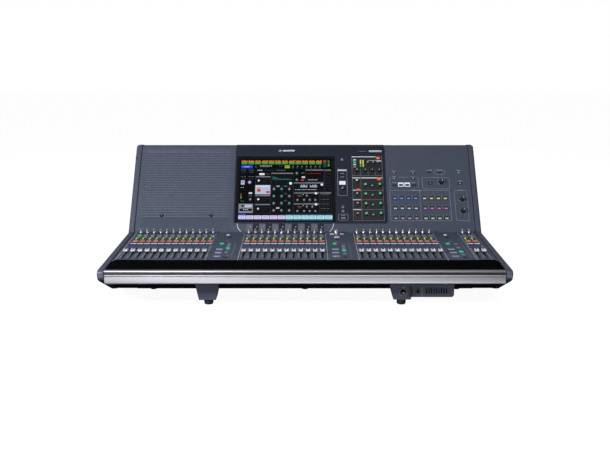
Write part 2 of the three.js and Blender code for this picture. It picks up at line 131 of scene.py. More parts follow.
FADERS = sorted(name for name in frame["nodes"] if name.startswith("fader_") and name != "fader_deck")
STRIPS = [middle_of(name).x for name in FADERS]
PITCH = STRIPS[1] - STRIPS[0]
FADER_Y = 189.5  # middle of the fader travel
FADER_REST = 187.0
TRAVEL = 100.0
ENCODER_Y = 421.0
BAYS = {
    "left": STRIPS[0:12],
    "centre": STRIPS[12:24],
    "right": STRIPS[24:36],
    "master": STRIPS[36:38],
}

# The side profile, clockwise from the nose: behind the front edge, height, corner radius.
TOP_FRONT_Y = CREASE_Y + (HEIGHT - CREASE_Z) / math.tan(BRIDGE_SLOPE)
TOP_REAR_Y = 668
REAR_KNEE_Z = 262
UNDERSIDE_Z = 20
REAR_CHAMFER = 28
SIDE = [
    (0, NOSE_Z, 12.5),
    (CREASE_Y, CREASE_Z, 3),
    (TOP_FRONT_Y, HEIGHT, 11.3),
    (TOP_REAR_Y, HEIGHT, 12),
    (DEPTH, REAR_KNEE_Z, 20),
    (DEPTH, UNDERSIDE_Z + REAR_CHAMFER, 10),
    (DEPTH - REAR_CHAMFER, UNDERSIDE_Z, 10),
    (158.4, UNDERSIDE_Z, 12),
    (0, 87.2, 24),
]
TOP_FRONT_RADIUS, TOP_REAR_RADIUS = 10, 10.5  # the cover's own, as it lies within the cheeks


# ---------- outlines: lists of flat points, anticlockwise where they are closed ----------


def arcs(corners, closed=True, step=math.radians(9)):
    """Corners of (u, v, radius) with each corner turned into an arc. An open line keeps its two ends."""
    points = []
    count = len(corners)
    for i, (u, v, radius) in enumerate(corners):
        here = Vector((u, v))
        if radius == 0 or (not closed and i in (0, count - 1)):
            points.append(here)
            continue
        back = (Vector(corners[i - 1][:2]) - here).normalized()
        onward = (Vector(corners[(i + 1) % count][:2]) - here).normalized()
        turn = math.pi - back.angle(onward)
        centre = here + (back + onward).normalized() * (radius / math.cos(turn / 2))
        start = here + back * (radius * math.tan(turn / 2)) - centre
        way = -1 if back.cross(onward) > 0 else 1
        steps = max(2, math.ceil(turn / step))
        for k in range(steps + 1):
            points.append(centre + Matrix.Rotation(way * turn * k / steps, 2) @ start)
    return points


def inset(outline, distance, closed=True):
    """Moves an outline to the left of its travel, which is inwards where it is anticlockwise."""
    moved = []
    last = len(outline) - 1
    for i, point in enumerate(outline):
        before = outline[i - 1] if closed or i > 0 else point
        after = outline[(i + 1) % len(outline)] if closed or i < last else point
        ways = [way.normalized() for way in (point - before, after - point) if way.length > 1e-9]
        normals = [Vector((-way.y, way.x)) for way in ways]
        mitre = (normals[0] + normals[-1]).normalized()
        moved.append(point + mitre * (distance / mitre.dot(normals[0])))
    return moved


def anticlockwise(outline):
    area = sum(outline[i - 1].cross(point) for i, point in enumerate(outline))
    return outline if area > 0 else outline[::-1]


def in_side_view(corners):
    """The closed outline of (behind the front edge, height, radius) corners, as (y, z) points."""
    return anticlockwise(arcs([(FRONT + y, z, radius) for y, z, radius in corners]))


def rounded(width, height, radius=0.0, steps=3, x=0.0, y=0.0):
    """A rectangle about (x, y) with round corners."""
    count = steps if radius > 0 else 0
    points = []
    for quarter, (across, along) in enumerate(((1, 1), (-1, 1), (-1, -1), (1, -1))):
        centre = Vector((x + across * (width / 2 - radius), y + along * (height / 2 - radius)))
        for k in range(count + 1):
            angle = math.pi / 2 * (quarter + k / max(count, 1))
            points.append(centre + radius * Vector((math.cos(angle), math.sin(angle))))
    return points


def circle(radius, sides=24):
    turn = math.tau / sides
    return [Vector((radius * math.cos(turn * k), radius * math.sin(turn * k))) for k in range(sides)]


def line(points, width):
    """The outline of a line of that width drawn through the points."""
    path = [Vector(point) for point in points]
    return anticlockwise(inset(path, width / 2, False) + inset(path, -width / 2, False)[::-1])


def sheet(path, outer, inner):
    """The outline of a folded sheet that lies between two distances from the path."""
    return anticlockwise(inset(path, outer, False) + inset(path, inner, False)[::-1])


# The cover's four folds: at the crease, at the front and the rear of its top, and at the knee.
COVER_FOLDS = inset(anticlockwise([Vector((FRONT + y, z)) for y, z, _ in SIDE]), SET_IN)[::-1][1:5]


# ---------- shapes: lists of points and of faces ----------


def loft(rings, endless=False):
    """Skins rings of equally many points, and closes the two ends, or joins the last ring to the first."""
    count = len(rings[0])
    points = [point for ring in rings for point in ring]
    faces = []
    for r in range(len(rings) - (0 if endless else 1)):
        low = r * count
        high = (r + 1) % len(rings) * count
        for i in range(count):
            j = (i + 1) % count
            faces.append((low + i, low + j, high + j, high + i))
    if not endless:
        faces.append(tuple(range(count))[::-1])
        faces.append(tuple(range(len(points) - count, len(points))))
    return points, faces


def raised(outline, z):
    return [Vector((point.x, point.y, z)) for point in outline]


def prism(outline, bottom, top, bevel=0.0):
    """A plate of that outline, with a chamfered upper edge."""
    rings = [raised(outline, bottom), raised(outline, top - bevel)]
    if bevel:
        rings.append(raised(inset(outline, bevel), top))
    return loft(rings)


def border(outline, width, bottom, top):
    """A closed line inside the outline, such as a printed frame or a rim."""
    inner = inset(outline, width)
    rings = [raised(outline, bottom), raised(outline, top), raised(inner, top), raised(inner, bottom)]
    return loft(rings, endless=True)


def turned(profile, sides=32, flutes=0):
    """A turned piece from (radius, height, depth of its flutes) rings, lowest first."""
    rings = []
    for radius, height, *fluted in profile:
        depth = fluted[0] if fluted else 0
        ring = []
        for k in range(sides):
            angle = math.tau * k / sides
            reach = radius - depth * (0.5 + 0.5 * math.cos(angle * flutes))
            ring.append(Vector((reach * math.cos(angle), reach * math.sin(angle), height)))
        rings.append(ring)
    return loft(rings)


def bar(slices):
    """A long piece along X, from slices of (outline in Y and Z, x), leftmost first."""
    return loft([[Vector((x, point.x, point.y)) for point in outline] for outline, x in slices])


def eased(outline, left, right, radius_left, radius_right, steps=4):
    """A bar along X whose two end edges are rounded."""
    slices = []
    for radius, end, way in ((radius_left, left, 1), (radius_right, right, -1)):
        ring = []
        for k in range(steps + 1):
            angle = math.pi / 2 * k / steps
            depth = radius * (1 - math.sin(angle))
            ring.append((inset(outline, depth), end + way * radius * (1 - math.cos(angle))))
        slices += ring if way > 0 else ring[::-1]
    return bar(slices)


# ---------- pieces ----------


class Piece:
    """A mesh in the making: shapes, each with its finish and its place."""

    def __init__(self, name):
        self.name = name
        self.points = []
        self.faces = []
        self.face_finishes = []
        self.finishes = []

    def add(self, shape, finish, place=ORIGIN):
        if finish not in self.finishes:
            self.finishes.append(finish)
        start = len(self.points)
        points, faces = shape
        self.points += [place @ Vector(point) for point in points]
        self.faces += [tuple(start + i for i in face) for face in faces]
        self.face_finishes += [self.finishes.index(finish)] * len(faces)
        return self

    def mesh(self, sharp=35):
        made = bpy.data.meshes.new(self.name)
        made.from_pydata([point * MM for point in self.points], [], self.faces)
        for finish in self.finishes:
            made.materials.append(finish)
        made.polygons.foreach_set("material_index", self.face_finishes)
        made.shade_smooth()
        made.set_sharp_from_angle(angle=math.radians(sharp))
        return made

    def make(self, slot, replaces=(), sharp=35):
        return show(self.name, self.mesh(sharp), replaces)


def show(name, mesh, replaces=(), body=BODY, place=ORIGIN):
    """Puts a mesh in the scene as a piece that rides on a body."""
    made = bpy.data.objects.new(name, mesh)
    made.matrix_world = Matrix.Translation(place.translation * MM) @ place.to_3x3().to_4x4()
    bpy.context.scene.collection.objects.link(made)
    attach(made, body)
    if replaces:
        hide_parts(*replaces)
    return made


def settled(made):
    """Keeps what the modifiers make of an object as its mesh."""
    seen = made.evaluated_get(bpy.context.evaluated_depsgraph_get())
    made.data = bpy.data.meshes.new_from_object(seen)
    made.modifiers.clear()


def cut(made, cutter):
    """Cuts a piece's shape out of an object."""
    tool = bpy.data.objects.new("cutter", cutter.mesh())
    bpy.context.scene.collection.objects.link(tool)
    modifier = made.modifiers.new("cut", "BOOLEAN")
    modifier.operation = "DIFFERENCE"
    modifier.solver = "EXACT"
    modifier.object = tool
    settled(made)
    bpy.data.objects.remove(tool)
    made.data.shade_smooth()
    made.data.set_sharp_from_angle(angle=math.radians(35))


# ---------- finishes ----------


def tone(*shades):
    """A screen colour, 0 to 255, as the renderer's linear one."""
    shares = [shade / 255 for shade in shades]
    return tuple(((share + 0.055) / 1.055) ** 2.4 if share > 0.04 else share / 12.92 for share in shares)


class Finish:
    """A Principled material with procedural textures in the object's own coordinates."""

    def __init__(self, name, colour, roughness, metallic=0.0):
        self.material = bpy.data.materials.new(name)
        self.material.use_nodes = True
        self.tree = self.material.node_tree
        self.shader = self.tree.nodes["Principled BSDF"]
        self.colour = colour
        self.set("Base Color", (*colour, 1))
        self.set("Roughness", roughness)
        self.set("Metallic", metallic)
        self.coordinates = None
        self.normal = None

    def set(self, name, value):
        self.shader.inputs[name].default_value = value
        return self

    def node(self, kind, links=(), **values):
        made = self.tree.nodes.new(kind)
        for name, value in values.items():
            made.inputs[name.replace("_", " ")].default_value = value
        for socket, source in links:
            self.tree.links.new(source, made.inputs[socket])
        return made

    def texture(self, kind, scale, stretch=(1, 1, 1), **values):
        """A texture whose features are 1/scale metres, longer along an axis where its stretch is small."""
        if self.coordinates is None:
            self.coordinates = self.node("ShaderNodeTexCoord").outputs["Object"]
        mapping = self.node("ShaderNodeMapping", [("Vector", self.coordinates)], Scale=stretch)
        return self.node(kind, [("Vector", mapping.outputs[0])], Scale=scale, **values).outputs[0]

    def spread(self, source, low, high):
        """Maps the usual span of a noise to the range from low to high."""
        span = {"From Min": 0.3, "From Max": 0.7, "To Min": low, "To Max": high}
        return self.node("ShaderNodeMapRange", [("Value", source)], **span).outputs[0]

    def mottle(self, scale, amount, stretch=(1, 1, 1), detail=4.0):
        """Makes the colour lighter and darker by that share."""
        share = self.spread(self.texture("ShaderNodeTexNoise", scale, stretch, Detail=detail), 0, 1)
        mix = self.node("ShaderNodeMix")
        mix.data_type = "RGBA"
        factor, darker, lighter, colour = mix.inputs[0], mix.inputs[6], mix.inputs[7], mix.outputs[2]
        darker.default_value = (*(value * (1 - amount) for value in self.colour), 1)
        lighter.default_value = (*(min(value * (1 + amount), 1) for value in self.colour), 1)
        self.tree.links.new(share, factor)
        self.tree.links.new(colour, self.shader.inputs["Base Color"])
        return self

    def wear(self, scale, low, high, stretch=(1, 1, 1)):
        """Varies the roughness between low and high."""
        source = self.texture("ShaderNodeTexNoise", scale, stretch, Detail=3.0)
        self.tree.links.new(self.spread(source, low, high), self.shader.inputs["Roughness"])
        return self

    def grain(self, scale, depth, strength=0.5, kind="ShaderNodeTexNoise", stretch=(1, 1, 1)):
        """Adds a fine relief of that depth in millimetres."""
        links = [("Height", self.texture(kind, scale, stretch))]
        if self.normal is not None:
            links.append(("Normal", self.normal))
        bump = self.node("ShaderNodeBump", links, Strength=strength, Distance=depth * MM)
        self.normal = bump.outputs[0]
        self.tree.links.new(self.normal, self.shader.inputs["Normal"])
        return self


def paint(name, colour, roughness, metallic=0.0, grain_size=0.7, relief=0.05, specular=0.4):
    """Fine textured powder coat, with grains of that size in millimetres."""
    made = Finish(name, tone(*colour), roughness, metallic)
    made.set("Specular IOR Level", specular)
    made.mottle(60, 0.05).wear(25, roughness - 0.05, roughness + 0.07)
    return made.grain(1000 / grain_size, relief).material


def plastic(name, colour, roughness, relief=0.02):
    """Moulded plastic with a light satin texture."""
    made = Finish(name, tone(*colour), roughness)
    made.mottle(120, 0.04).wear(60, roughness - 0.04, roughness + 0.05)
    return made.grain(2500, relief, 0.3).material


def brushed(name, colour, roughness, stretch, amount=0.07, relief=0.01):
    """Metal with fine lines along the axis whose stretch is small."""
    made = Finish(name, tone(*colour), roughness, 1.0)
    made.mottle(900, amount, stretch, 2.0).wear(700, roughness - amount / 2, roughness + amount, stretch)
    if relief:
        made.grain(1600, relief, 0.25, stretch=stretch)
    return made.material


def light(name, colour, glow=0.85):
    """A lit key or lamp, one colour of the display's picture, or the painted glow around a soft key: a share
    of its colour is its own glow.
    """
    shade = tone(*colour)
    made = Finish(name, tuple(value * (1 - glow) for value in shade), 0.3)
    made.set("Emission Color", (*shade, 1)).set("Emission Strength", glow).set("Specular IOR Level", 0.1)
    return made.material


def leather():
    """Black grained leatherette without gloss: pebbles and fine pores."""
    made = Finish("pad_leatherette", tone(8, 8, 9), 0.6)
    made.set("Specular IOR Level", 0.0)
    made.mottle(400, 0.25).wear(90, 0.48, 0.62)
    made.grain(650, 0.12, 0.45, "ShaderNodeTexVoronoi")
    return made.grain(2600, 0.04, 0.3).material


def glass():
    """The black front glass of the display."""
    made = Finish("screen_glass", tone(5, 6, 9), 0.08)
    return made.wear(8, 0.06, 0.12).set("Specular IOR Level", 0.25).material


CHEEK = paint("cheek_texture", (80, 84, 104), 0.42, metallic=0.5, grain_size=1.1, relief=0.1)
DECK_PAINT = paint("deck_powder_coat", (62, 69, 85), 0.5, metallic=0.1)
BRIDGE_PAINT = paint("bridge_powder_coat", (62, 69, 85), 0.48, metallic=0.12)
BEZEL = paint("bezel_satin", (30, 35, 48), 0.45, grain_size=0.5, relief=0.03, specular=0.2)
CHASSIS = paint("chassis_powder_coat", (13, 14, 17), 0.7, grain_size=0.9, relief=0.08, specular=0.0)
LEG = paint("leg_powder_coat", (58, 64, 79), 0.5, metallic=0.1, specular=0.2)
TRIM = brushed("trim_anodised", (188, 187, 195), 0.5, (0.002, 1, 1), amount=0.012, relief=0)
LEATHER = leather()
RUBBER = plastic("rubber", (13, 13, 14), 0.8, relief=0.06)
CAP_BODY = plastic("cap_black", (16, 17, 21), 0.5)
CAP_TOP = plastic("cap_white", (208, 211, 223), 0.3)
KNOB_SILVER = brushed("knob_silver", (205, 206, 214), 0.34, (1, 1, 0.05))
KNOB_GREY = plastic("knob_grey", (120, 122, 132), 0.4)
KNOB_DARK = plastic("knob_black", (14, 15, 19), 0.45)
FIELD = plastic("printed_field", (14, 15, 21), 0.5)
STRIPE = plastic("stripe_grey", (76, 80, 94), 0.5)
KEY_DARK = plastic("key_dark", (30, 32, 40), 0.5)
KEY_GREY = plastic("key_grey", (112, 114, 130), 0.5)
KEY_PALE = plastic("key_pale", (190, 195, 205), 0.5)
KEY_BLUE = plastic("key_blue_grey", (132, 148, 172), 0.5)
PRINT = plastic("print_light", (176, 179, 190), 0.6)
# Dim grey print; the same finish also paints the highlight along the deck's front edge.
PRINT_DIM_AND_HIGHLIGHT = plastic("print_grey_and_highlight", (122, 127, 142), 0.6)
BLACK = plastic("socket_black", (7, 7, 8), 0.6)
GLOSS_BLACK = plastic("peg_black", (10, 10, 13), 0.12)
STEEL = brushed("connector_nickel", (188, 188, 184), 0.28, (1, 1, 0.3))
BRASS = brushed("contact_gold", (212, 172, 92), 0.25, (1, 1, 0.3))
BOARD = paint("solder_mask", (24, 84, 48), 0.45)
SUPPLY = brushed("supply_steel", (160, 163, 165), 0.38, (0.1, 1, 1))
GLASS_BLACK = glass()

LAMP_COLOURS = {
    "green": (48, 196, 148),
    "lime": (190, 220, 62),
    "yellow": (232, 226, 92),
    "orange": (226, 116, 66),
    "amber": (204, 128, 84),
    "coral": (202, 104, 82),
    "moss": (86, 112, 22),
    "red": (226, 78, 64),
    "magenta": (214, 70, 136),
    "rose": (222, 92, 132),
    "cyan": (196, 226, 228),
    "white": (226, 232, 252),
    "ice": (204, 212, 236),
    "plum": (70, 48, 120),
    "teal": (40, 92, 100),
    "navy": (44, 58, 120),
    "brown": (84, 66, 74),
    "dusk": (48, 52, 68),
    "soft_blue": (108, 136, 206),
    "soft_lime": (186, 194, 152),
    "soft_teal": (166, 186, 186),
    "soft_rose": (186, 118, 156),
    "soft_lilac": (156, 146, 172),
    "soft_green": (164, 190, 160),
}
LAMPS = {name: light(f"lamp_{name}", colour) for name, colour in LAMP_COLOURS.items()}


# ---------- small parts that repeat ----------

MARK = 0.08  # how thick a printed mark is
WELL = 0.6  # the dark gap around a key
CAPTION_DASH = 3.2  # pitch of a caption's dashes
SCALE_TURNS = [math.radians(150 - 30 * k) for k in range(11)]  # a knob's scale, from its right end


def plate(piece, place, x, y, width, depth, finish, bottom=0.0, top=MARK, radius=0.0, bevel=0.0, steps=3):
    """A rectangular part between two heights over its place."""
    piece.add(prism(rounded(width, depth, radius, steps), bottom, top, bevel), finish, spot(place, x, y))


def disc(piece, place, x, y, radius, finish, bottom, top, bevel=0.0, sides=24):
    piece.add(prism(circle(radius, sides), bottom, top, bevel), finish, spot(place, x, y))


def ring(piece, place, x, y, radius, width, finish, bottom, top, sides=32):
    piece.add(border(circle(radius, sides), width, bottom, top), finish, spot(place, x, y))


def key(piece, place, x, y, width, depth, finish, height=2.0):
    """A key standing in a dark well."""
    plate(piece, place, x, y, width + 2 * WELL, depth + 2 * WELL, BLACK, 0, 0.12, 1.4)
    plate(piece, place, x, y, width, depth, finish, 0.05, height, 1.1, 0.5)


def mark(piece, place, x, y, width, height, finish, lift=MARK, radius=0.0, turn=0.0):
    """A flat printed or lit mark, with corners as round as it has room for."""
    shape = prism(rounded(width, height, min(radius, width / 2.1, height / 2.1)), 0, lift)
    piece.add(shape, finish, spot(place, x, y, turn=turn))


def marks(piece, place, finish, rows):
    """Marks of one finish, from (x, y, width, height) rows."""
    for row in rows:
        mark(piece, place, *row, finish)


def caption(piece, place, x, y, width, finish=PRINT, height=1.4):
    """A generic caption: a row of short dashes in place of letters."""
    count = max(1, round(width / CAPTION_DASH))
    dash = width / count
    for k in range(count):
        mark(piece, place, x + (k - (count - 1) / 2) * dash, y, dash * 0.72, height, finish)


def captions(piece, place, finish, rows):
    """Captions of one finish, from (x, y, width) rows."""
    for row in rows:
        caption(piece, place, *row, finish)


def box_line(piece, place, left, bottom, right, top, radius=3.0, width=1.1, finish=PRINT_DIM_AND_HIGHLIGHT):
    """A printed frame."""
    outline = rounded(right - left, top - bottom, radius, 4)
    piece.add(border(outline, width, 0, MARK), finish, spot(place, (left + right) / 2, (bottom + top) / 2))


def rotary(piece, place, x, y, radius, height, cap, lamp=None, lit=9):
    """A small rotary control: skirt, fluted body, coloured top and pointer, and its lamps if it has any."""
    here = spot(place, x, y)
    body = [
        (radius + 1.0, 0.1),
        (radius + 1.0, 0.6),
        (radius, 1.0),
        (radius, 1.2, 0.4),
        (radius * 0.9, height - 0.8, 0.4),
        (radius * 0.8, height, 0.1),
    ]
    crown = [(radius * 0.6, height - 0.2), (radius * 0.6, height + 0.2), (radius * 0.45, height + 0.5)]
    pointer = rounded(1.5, radius * 0.9, 0.5, 2, radius * 0.3, radius * 0.3)
    piece.add(turned(body, 36, 12), KNOB_DARK, here)
    piece.add(turned(crown, 24), cap, here)
    piece.add(prism(pointer, height + 0.1, height + 0.6), PRINT, here)
    if lamp:
        for k, turn in enumerate(SCALE_TURNS):
            finish = lamp if k < lit else BLACK
            disc(piece, here, *around(radius + 2.6, turn), 0.65, finish, 0, 0.25, sides=8)


def around(reach, turn):
    """Across and along, for a point at that turn to the right of straight up."""
    return reach * math.sin(turn), reach * math.cos(turn)


def scale(piece, place, x, y, reach):
    """The printed scale around a level knob."""
    for turn in SCALE_TURNS:
        mark(piece, spot(place, x, y), *around(reach, turn), 0.9, 2.2, PRINT, turn=-turn)


def screw_head(piece, place, radius):
    """A pan-head screw, with its cross recess drawn as a flat black cross: painted shade in place of a cut
    recess.
    """
    head = [(radius, 0), (radius, 0.35), (radius * 0.9, 0.9), (radius * 0.6, 1.15)]
    recess = prism(rounded(radius * 0.9, radius * 0.2, 0.1, 2), 1.1, 1.2)
    piece.add(turned(head, 28), STEEL, place)
    for turn in (0, math.pi / 2):
        piece.add(recess, BLACK, spot(place, turn=turn + 0.4))


# ---------- casing ----------

# Behind the front edge, height.
CHEEK_SCREWS = [(60, 98), (250, 60), (470, 52), (690, 70), (600, 352), (690, 300)]
SCREW_SINK = 2.4


def cheek_spot(way, y, z):
    """A place on a cheek's outer face."""
    face = facing((way * HALF_WIDTH, 0, 0), (0, way, 0), (0, 0, 1))
    return spot(face, way * (FRONT + y), z)


def cheeks():
    """The two side mouldings, softly rounded on the outside, with counterbores for their screws."""
    outer_edge, inner_edge = 5.5, 1.6
    for name, way in (("left_cheek", -1), ("right_cheek", 1)):
        low, high = box_of(name)
        edges = (outer_edge, inner_edge) if way < 0 else (inner_edge, outer_edge)
        made = Piece(f"{name}_moulding").add(eased(in_side_view(SIDE), low.x, high.x, *edges, steps=6), CHEEK)
        cutter = Piece("counterbores")
        for y, z in CHEEK_SCREWS:
            cutter.add(prism(circle(5.4, 32), -SCREW_SINK, 4), BLACK, cheek_spot(way, y, z))
        cut(made.make("cheek_paint", [name]), cutter)


def side_screws():
    """The screws that hold each cheek, sunk in its outer face."""
    made = Piece("cheek_screws")
    for way in (-1, 1):
        for y, z in CHEEK_SCREWS:
            screw_head(made, spot(cheek_spot(way, y, z), z=-SCREW_SINK), 4.2)
    made.make("connector_metal")


def bridge_cover():
    """The folded cover, with fine grooves pressed into its left part."""
    grooves = 27
    first_groove, last_groove = 56.0, 296.0
    depth, flank, floor = 0.6, 0.8, 1.0
    thickness = 2.0
    crease, top_front, top_rear, rear_knee = COVER_FOLDS
    seam_y = FRONT + 425.9
    seam = Vector((seam_y, crease.y - (crease.x - seam_y) * math.tan(DECK_SLOPE)))
    inward = Vector((BRIDGE_UP.y, -BRIDGE_UP.x))
    start = Vector((FRONT + CREASE_Y, CREASE_Z)) + inward * SET_IN

    def outline(share):
        """The sheet where its grooves have that share of their depth."""
        groove = ((-floor / 2 - flank, 0), (-floor / 2, 1), (floor / 2, 1), (floor / 2 + flank, 0))
        corners = [(*seam, 0), (*crease, CREASE_RADIUS)]
        for k in range(grooves):
            middle = first_groove + (last_groove - first_groove) * k / (grooves - 1)
            for along, drop in groove:
                point = start + BRIDGE_UP * (middle + along) + inward * (drop * depth * share)
                corners.append((*point, 0))
        corners += [(*top_front, TOP_FRONT_RADIUS), (*top_rear, TOP_REAR_RADIUS)]
        corners.append((*top_rear.lerp(rear_knee, 0.985), 0))
        return sheet(arcs(corners, False), 0, -thickness)

    left, right, run_out = -533.0, -252.0, 2.5
    slices = [(-INSIDE, 0), (left, 0), (left + run_out, 1), (right - run_out, 1), (right, 0), (INSIDE, 0)]
    made = Piece("bridge_cover_sheet").add(bar([(outline(share), x) for x, share in slices]), BRIDGE_PAINT)
    flange, reach = 8.0, 12.0
    low, high = module_corners()
    window = rounded(high.x - low.x - 2 * flange, high.y - low.y - 2 * flange)
    cutter = Piece("window").add(prism(window, -reach, reach), BLACK, spot(BRIDGE, *((low + high) / 2)))
    for x in USB_XS:
        cutter.add(prism(rounded(15, 7.5, 0.8, 2), -reach, reach), BLACK, spot(BRIDGE, x, USB_Y))
    cut(made.make("bridge_paint", ["bridge_cover"]), cutter)


def gaskets():
    """The dark joint between each cheek and everything between the cheeks."""
    outline = inset(in_side_view(SIDE), 0.8)
    across = facing((0, 0, 0), (0, 1, 0), (0, 0, 1))
    made = Piece("cheek_gaskets")
    for low, high in ((-INSIDE, JOINT - INSIDE), (INSIDE - JOINT, INSIDE)):
        made.add(border(outline, 1.6, low, high), RUBBER, across)
    made.make("foot_rubber")


def module_corners():
    """Lower left and upper right corner of the centre module, on the bridge."""
    low, high = box_of("centre_bezel")
    return Vector((low.x, MODULE_BOTTOM)), Vector((high.x, MODULE_TOP))


def centre_bezel():
    """The dark plate of the centre module, with its window for the glass."""
    low, high = module_corners()
    glass_low, glass_high = box_of("touch_screen")
    under, gap, edge, rim = 0.3, 0.3, 1.0, 0.4
    steps = 6
    outer = rounded(high.x - low.x, high.y - low.y, 7.0, steps, *((low + high) / 2))
    width = glass_high.x - glass_low.x + 2 * gap
    height = GLASS_TOP - GLASS_BOTTOM + 2 * gap
    centre = ((glass_low.x + glass_high.x) / 2, (GLASS_TOP + GLASS_BOTTOM) / 2)
    window = rounded(width, height, 1.0, steps, *centre)
    rings = [
        raised(outer, under),
        raised(outer, MODULE_FACE - edge),
        raised(inset(outer, edge * 0.3), MODULE_FACE - edge * 0.3),
        raised(inset(outer, edge), MODULE_FACE),
        raised(inset(window, -rim), MODULE_FACE),
        raised(window, MODULE_FACE - rim),
        raised(window, under),
    ]
    Piece("centre_module_plate").add(loft(rings, True), BEZEL, BRIDGE).make("bezel_paint", ["centre_bezel"])


def module_wrap():
    """The centre module's dark band, which runs on over the top edge of the bridge."""
    crease, top_front, top_rear, rear_knee = COVER_FOLDS
    foot = crease.lerp(top_front, 0.88)
    end = top_rear.lerp(rear_knee, 0.05)
    path = arcs([(*foot, 0), (*top_front, TOP_FRONT_RADIUS), (*top_rear, TOP_REAR_RADIUS), (*end, 0)], False)
    low, high = box_of("centre_bezel")
    band = sheet(path, 1.0, 0.1)
    made = Piece("module_top_band").add(bar([(band, low.x + 0.2), (band, high.x - 0.2)]), BEZEL)
    made.make("bezel_paint")


def front_trim():
    """The aluminium extrusion along the front: a rolled lower edge, a shadow line and a finger slot."""
    corners = [
        (14.5, 73.6, 0),
        (7.5, 74.7, 3),
        (1.6, 78.3, 4),
        (0.6, 84, 4),
        (0.8, 88, 15),
        (1.5, 96.8, 0.4),
        (4.8, 97.1, 0.2),
        (4.8, 98.9, 0.2),
        (1.0, 99.3, 0.3),
        (0.6, 102.8, 0.6),
        (5.4, 103.0, 0.3),
        (5.4, 110.1, 0.3),
        (2.4, 110.4, 0.5),
        (2.7, 112.9, 2.2),
        (5.6, 114.8, 1.5),
        (12.2, 115.2, 0.5),
        (12.2, 79.2, 0),
        (14.9, 75.6, 0),
    ]
    end = INSIDE - JOINT
    made = Piece("front_trim_extrusion").add(eased(in_side_view(corners), -end, end, 0.2, 0.2, 1), TRIM)
    made.make("trim_aluminium", ["front_trim"], sharp=50)
    # The finger slot is lined in black: painted shade that darkens the recess.
    slot_shade_lining = in_side_view([(1.6, 103.2, 0), (5.3, 103.2, 0), (5.3, 110.0, 0), (3.4, 110.0, 0)])
    made = Piece("trim_slot_shade_lining").add(bar([(slot_shade_lining, 0.5 - end), (slot_shade_lining, end - 0.5)]), BLACK)
    made.make("socket_black")


def armrest():
    """The soft armrest: a smaller core blown up by cloth simulation inside the space of its CAD solid."""
    low, high = box_of("armrest_pad")
    slope = math.tan(DECK_SLOPE)
    swell = 1.6  # how far the simulation moves the cover outwards
    front, back = low.y + 0.6, high.y - 0.6
    bottom = low.z + 1.2
    top_front = 117.5 - swell
    top_back = top_front + (back - front) * slope + 4.0
    corners = [
        (front, bottom, 3),
        (back, bottom + (back - front) * slope * 0.9, 3),
        (back, top_back, 4),
        (front, top_front, 5),
    ]
    outline = anticlockwise(arcs(corners, step=math.radians(20)))
    made = Piece("armrest_cushion").add(eased(outline, low.x + 1, high.x - 1, 4, 4), LEATHER)
    shown = made.make("pad_cover", ["armrest_pad"], sharp=180)
    remesh = shown.modifiers.new("remesh", "REMESH")
    remesh.mode = "VOXEL"
    remesh.voxel_size = 5 * MM
    remesh.use_smooth_shade = True
    settled(shown)
    inflate(shown, pressure=4.0, most=2.2 * MM)
    smooth = shown.modifiers.new("smooth", "SUBSURF")
    smooth.levels = smooth.render_levels = 1
    settled(shown)
    shown.data.shade_smooth()
    shown.data.materials.clear()
    shown.data.materials.append(LEATHER)


def inflate(made, pressure, most):
    """Blows a closed mesh up as cloth, and keeps each point within a distance of where it was."""
    before = [vertex.co.copy() for vertex in made.data.vertices]
    cloth = made.modifiers.new("cloth", "CLOTH").settings
    cloth.use_pressure = True
    cloth.uniform_pressure_force = pressure
    cloth.effector_weights.gravity = 0
    cloth.quality = 4
    cloth.tension_stiffness = 20
    cloth.compression_stiffness = 20
    last_frame = 20
    for number in range(1, last_frame + 1):
        bpy.context.scene.frame_set(number)
    seen = made.evaluated_get(bpy.context.evaluated_depsgraph_get())
    after = [vertex.co.copy() for vertex in seen.data.vertices]
    made.modifiers.clear()
    bpy.context.scene.frame_set(1)
    for vertex, old, new in zip(made.data.vertices, before, after):
        way = new - old
        vertex.co = old + way.normalized() * min(way.length, most)


def soften(node, width, finish):
    """Gives a CAD node its finish and softly rounded edges."""
    made = frame["nodes"][node]
    made.data.materials.clear()
    made.data.materials.append(finish)
    weld = made.modifiers.new("weld", "WELD")
    weld.merge_threshold = 0.01 * MM
    if width:
        bevel = made.modifiers.new("bevel", "BEVEL")
        bevel.width = width * MM
        bevel.segments = 2
        bevel.limit_method = "ANGLE"
        bevel.angle_limit = math.radians(35)
        bevel.harden_normals = False


FEET = ("left_front_foot", "right_front_foot", "left_body_foot", "centre_body_foot", "right_body_foot")


def feet():
    """The round rubber feet: a hollow sole, a rolled edge and a groove near the top."""
    for name in FEET:
        low, high = box_of(name)
        radius, top = (high.x - low.x) / 2, high.z
        profile = [
            (radius - 4.5, 0.6),
            (radius - 4.2, 0),
            (radius - 3.2, 0),
            (radius - 1.4, 0.8),
            (radius - 0.3, 3.0),
            (radius, 4.5),
            (radius, top - 2.2),
            (radius - 0.8, top - 1.6),
            (radius - 0.8, top - 1.0),
            (radius, top - 0.6),
            (radius, top),
        ]
        made = Piece(f"{name}_rubber").add(turned(profile, 48), RUBBER, spot(ORIGIN, *middle_of(name).xy))
        made.make("foot_rubber", [name])


# ---------- faders and knobs ----------


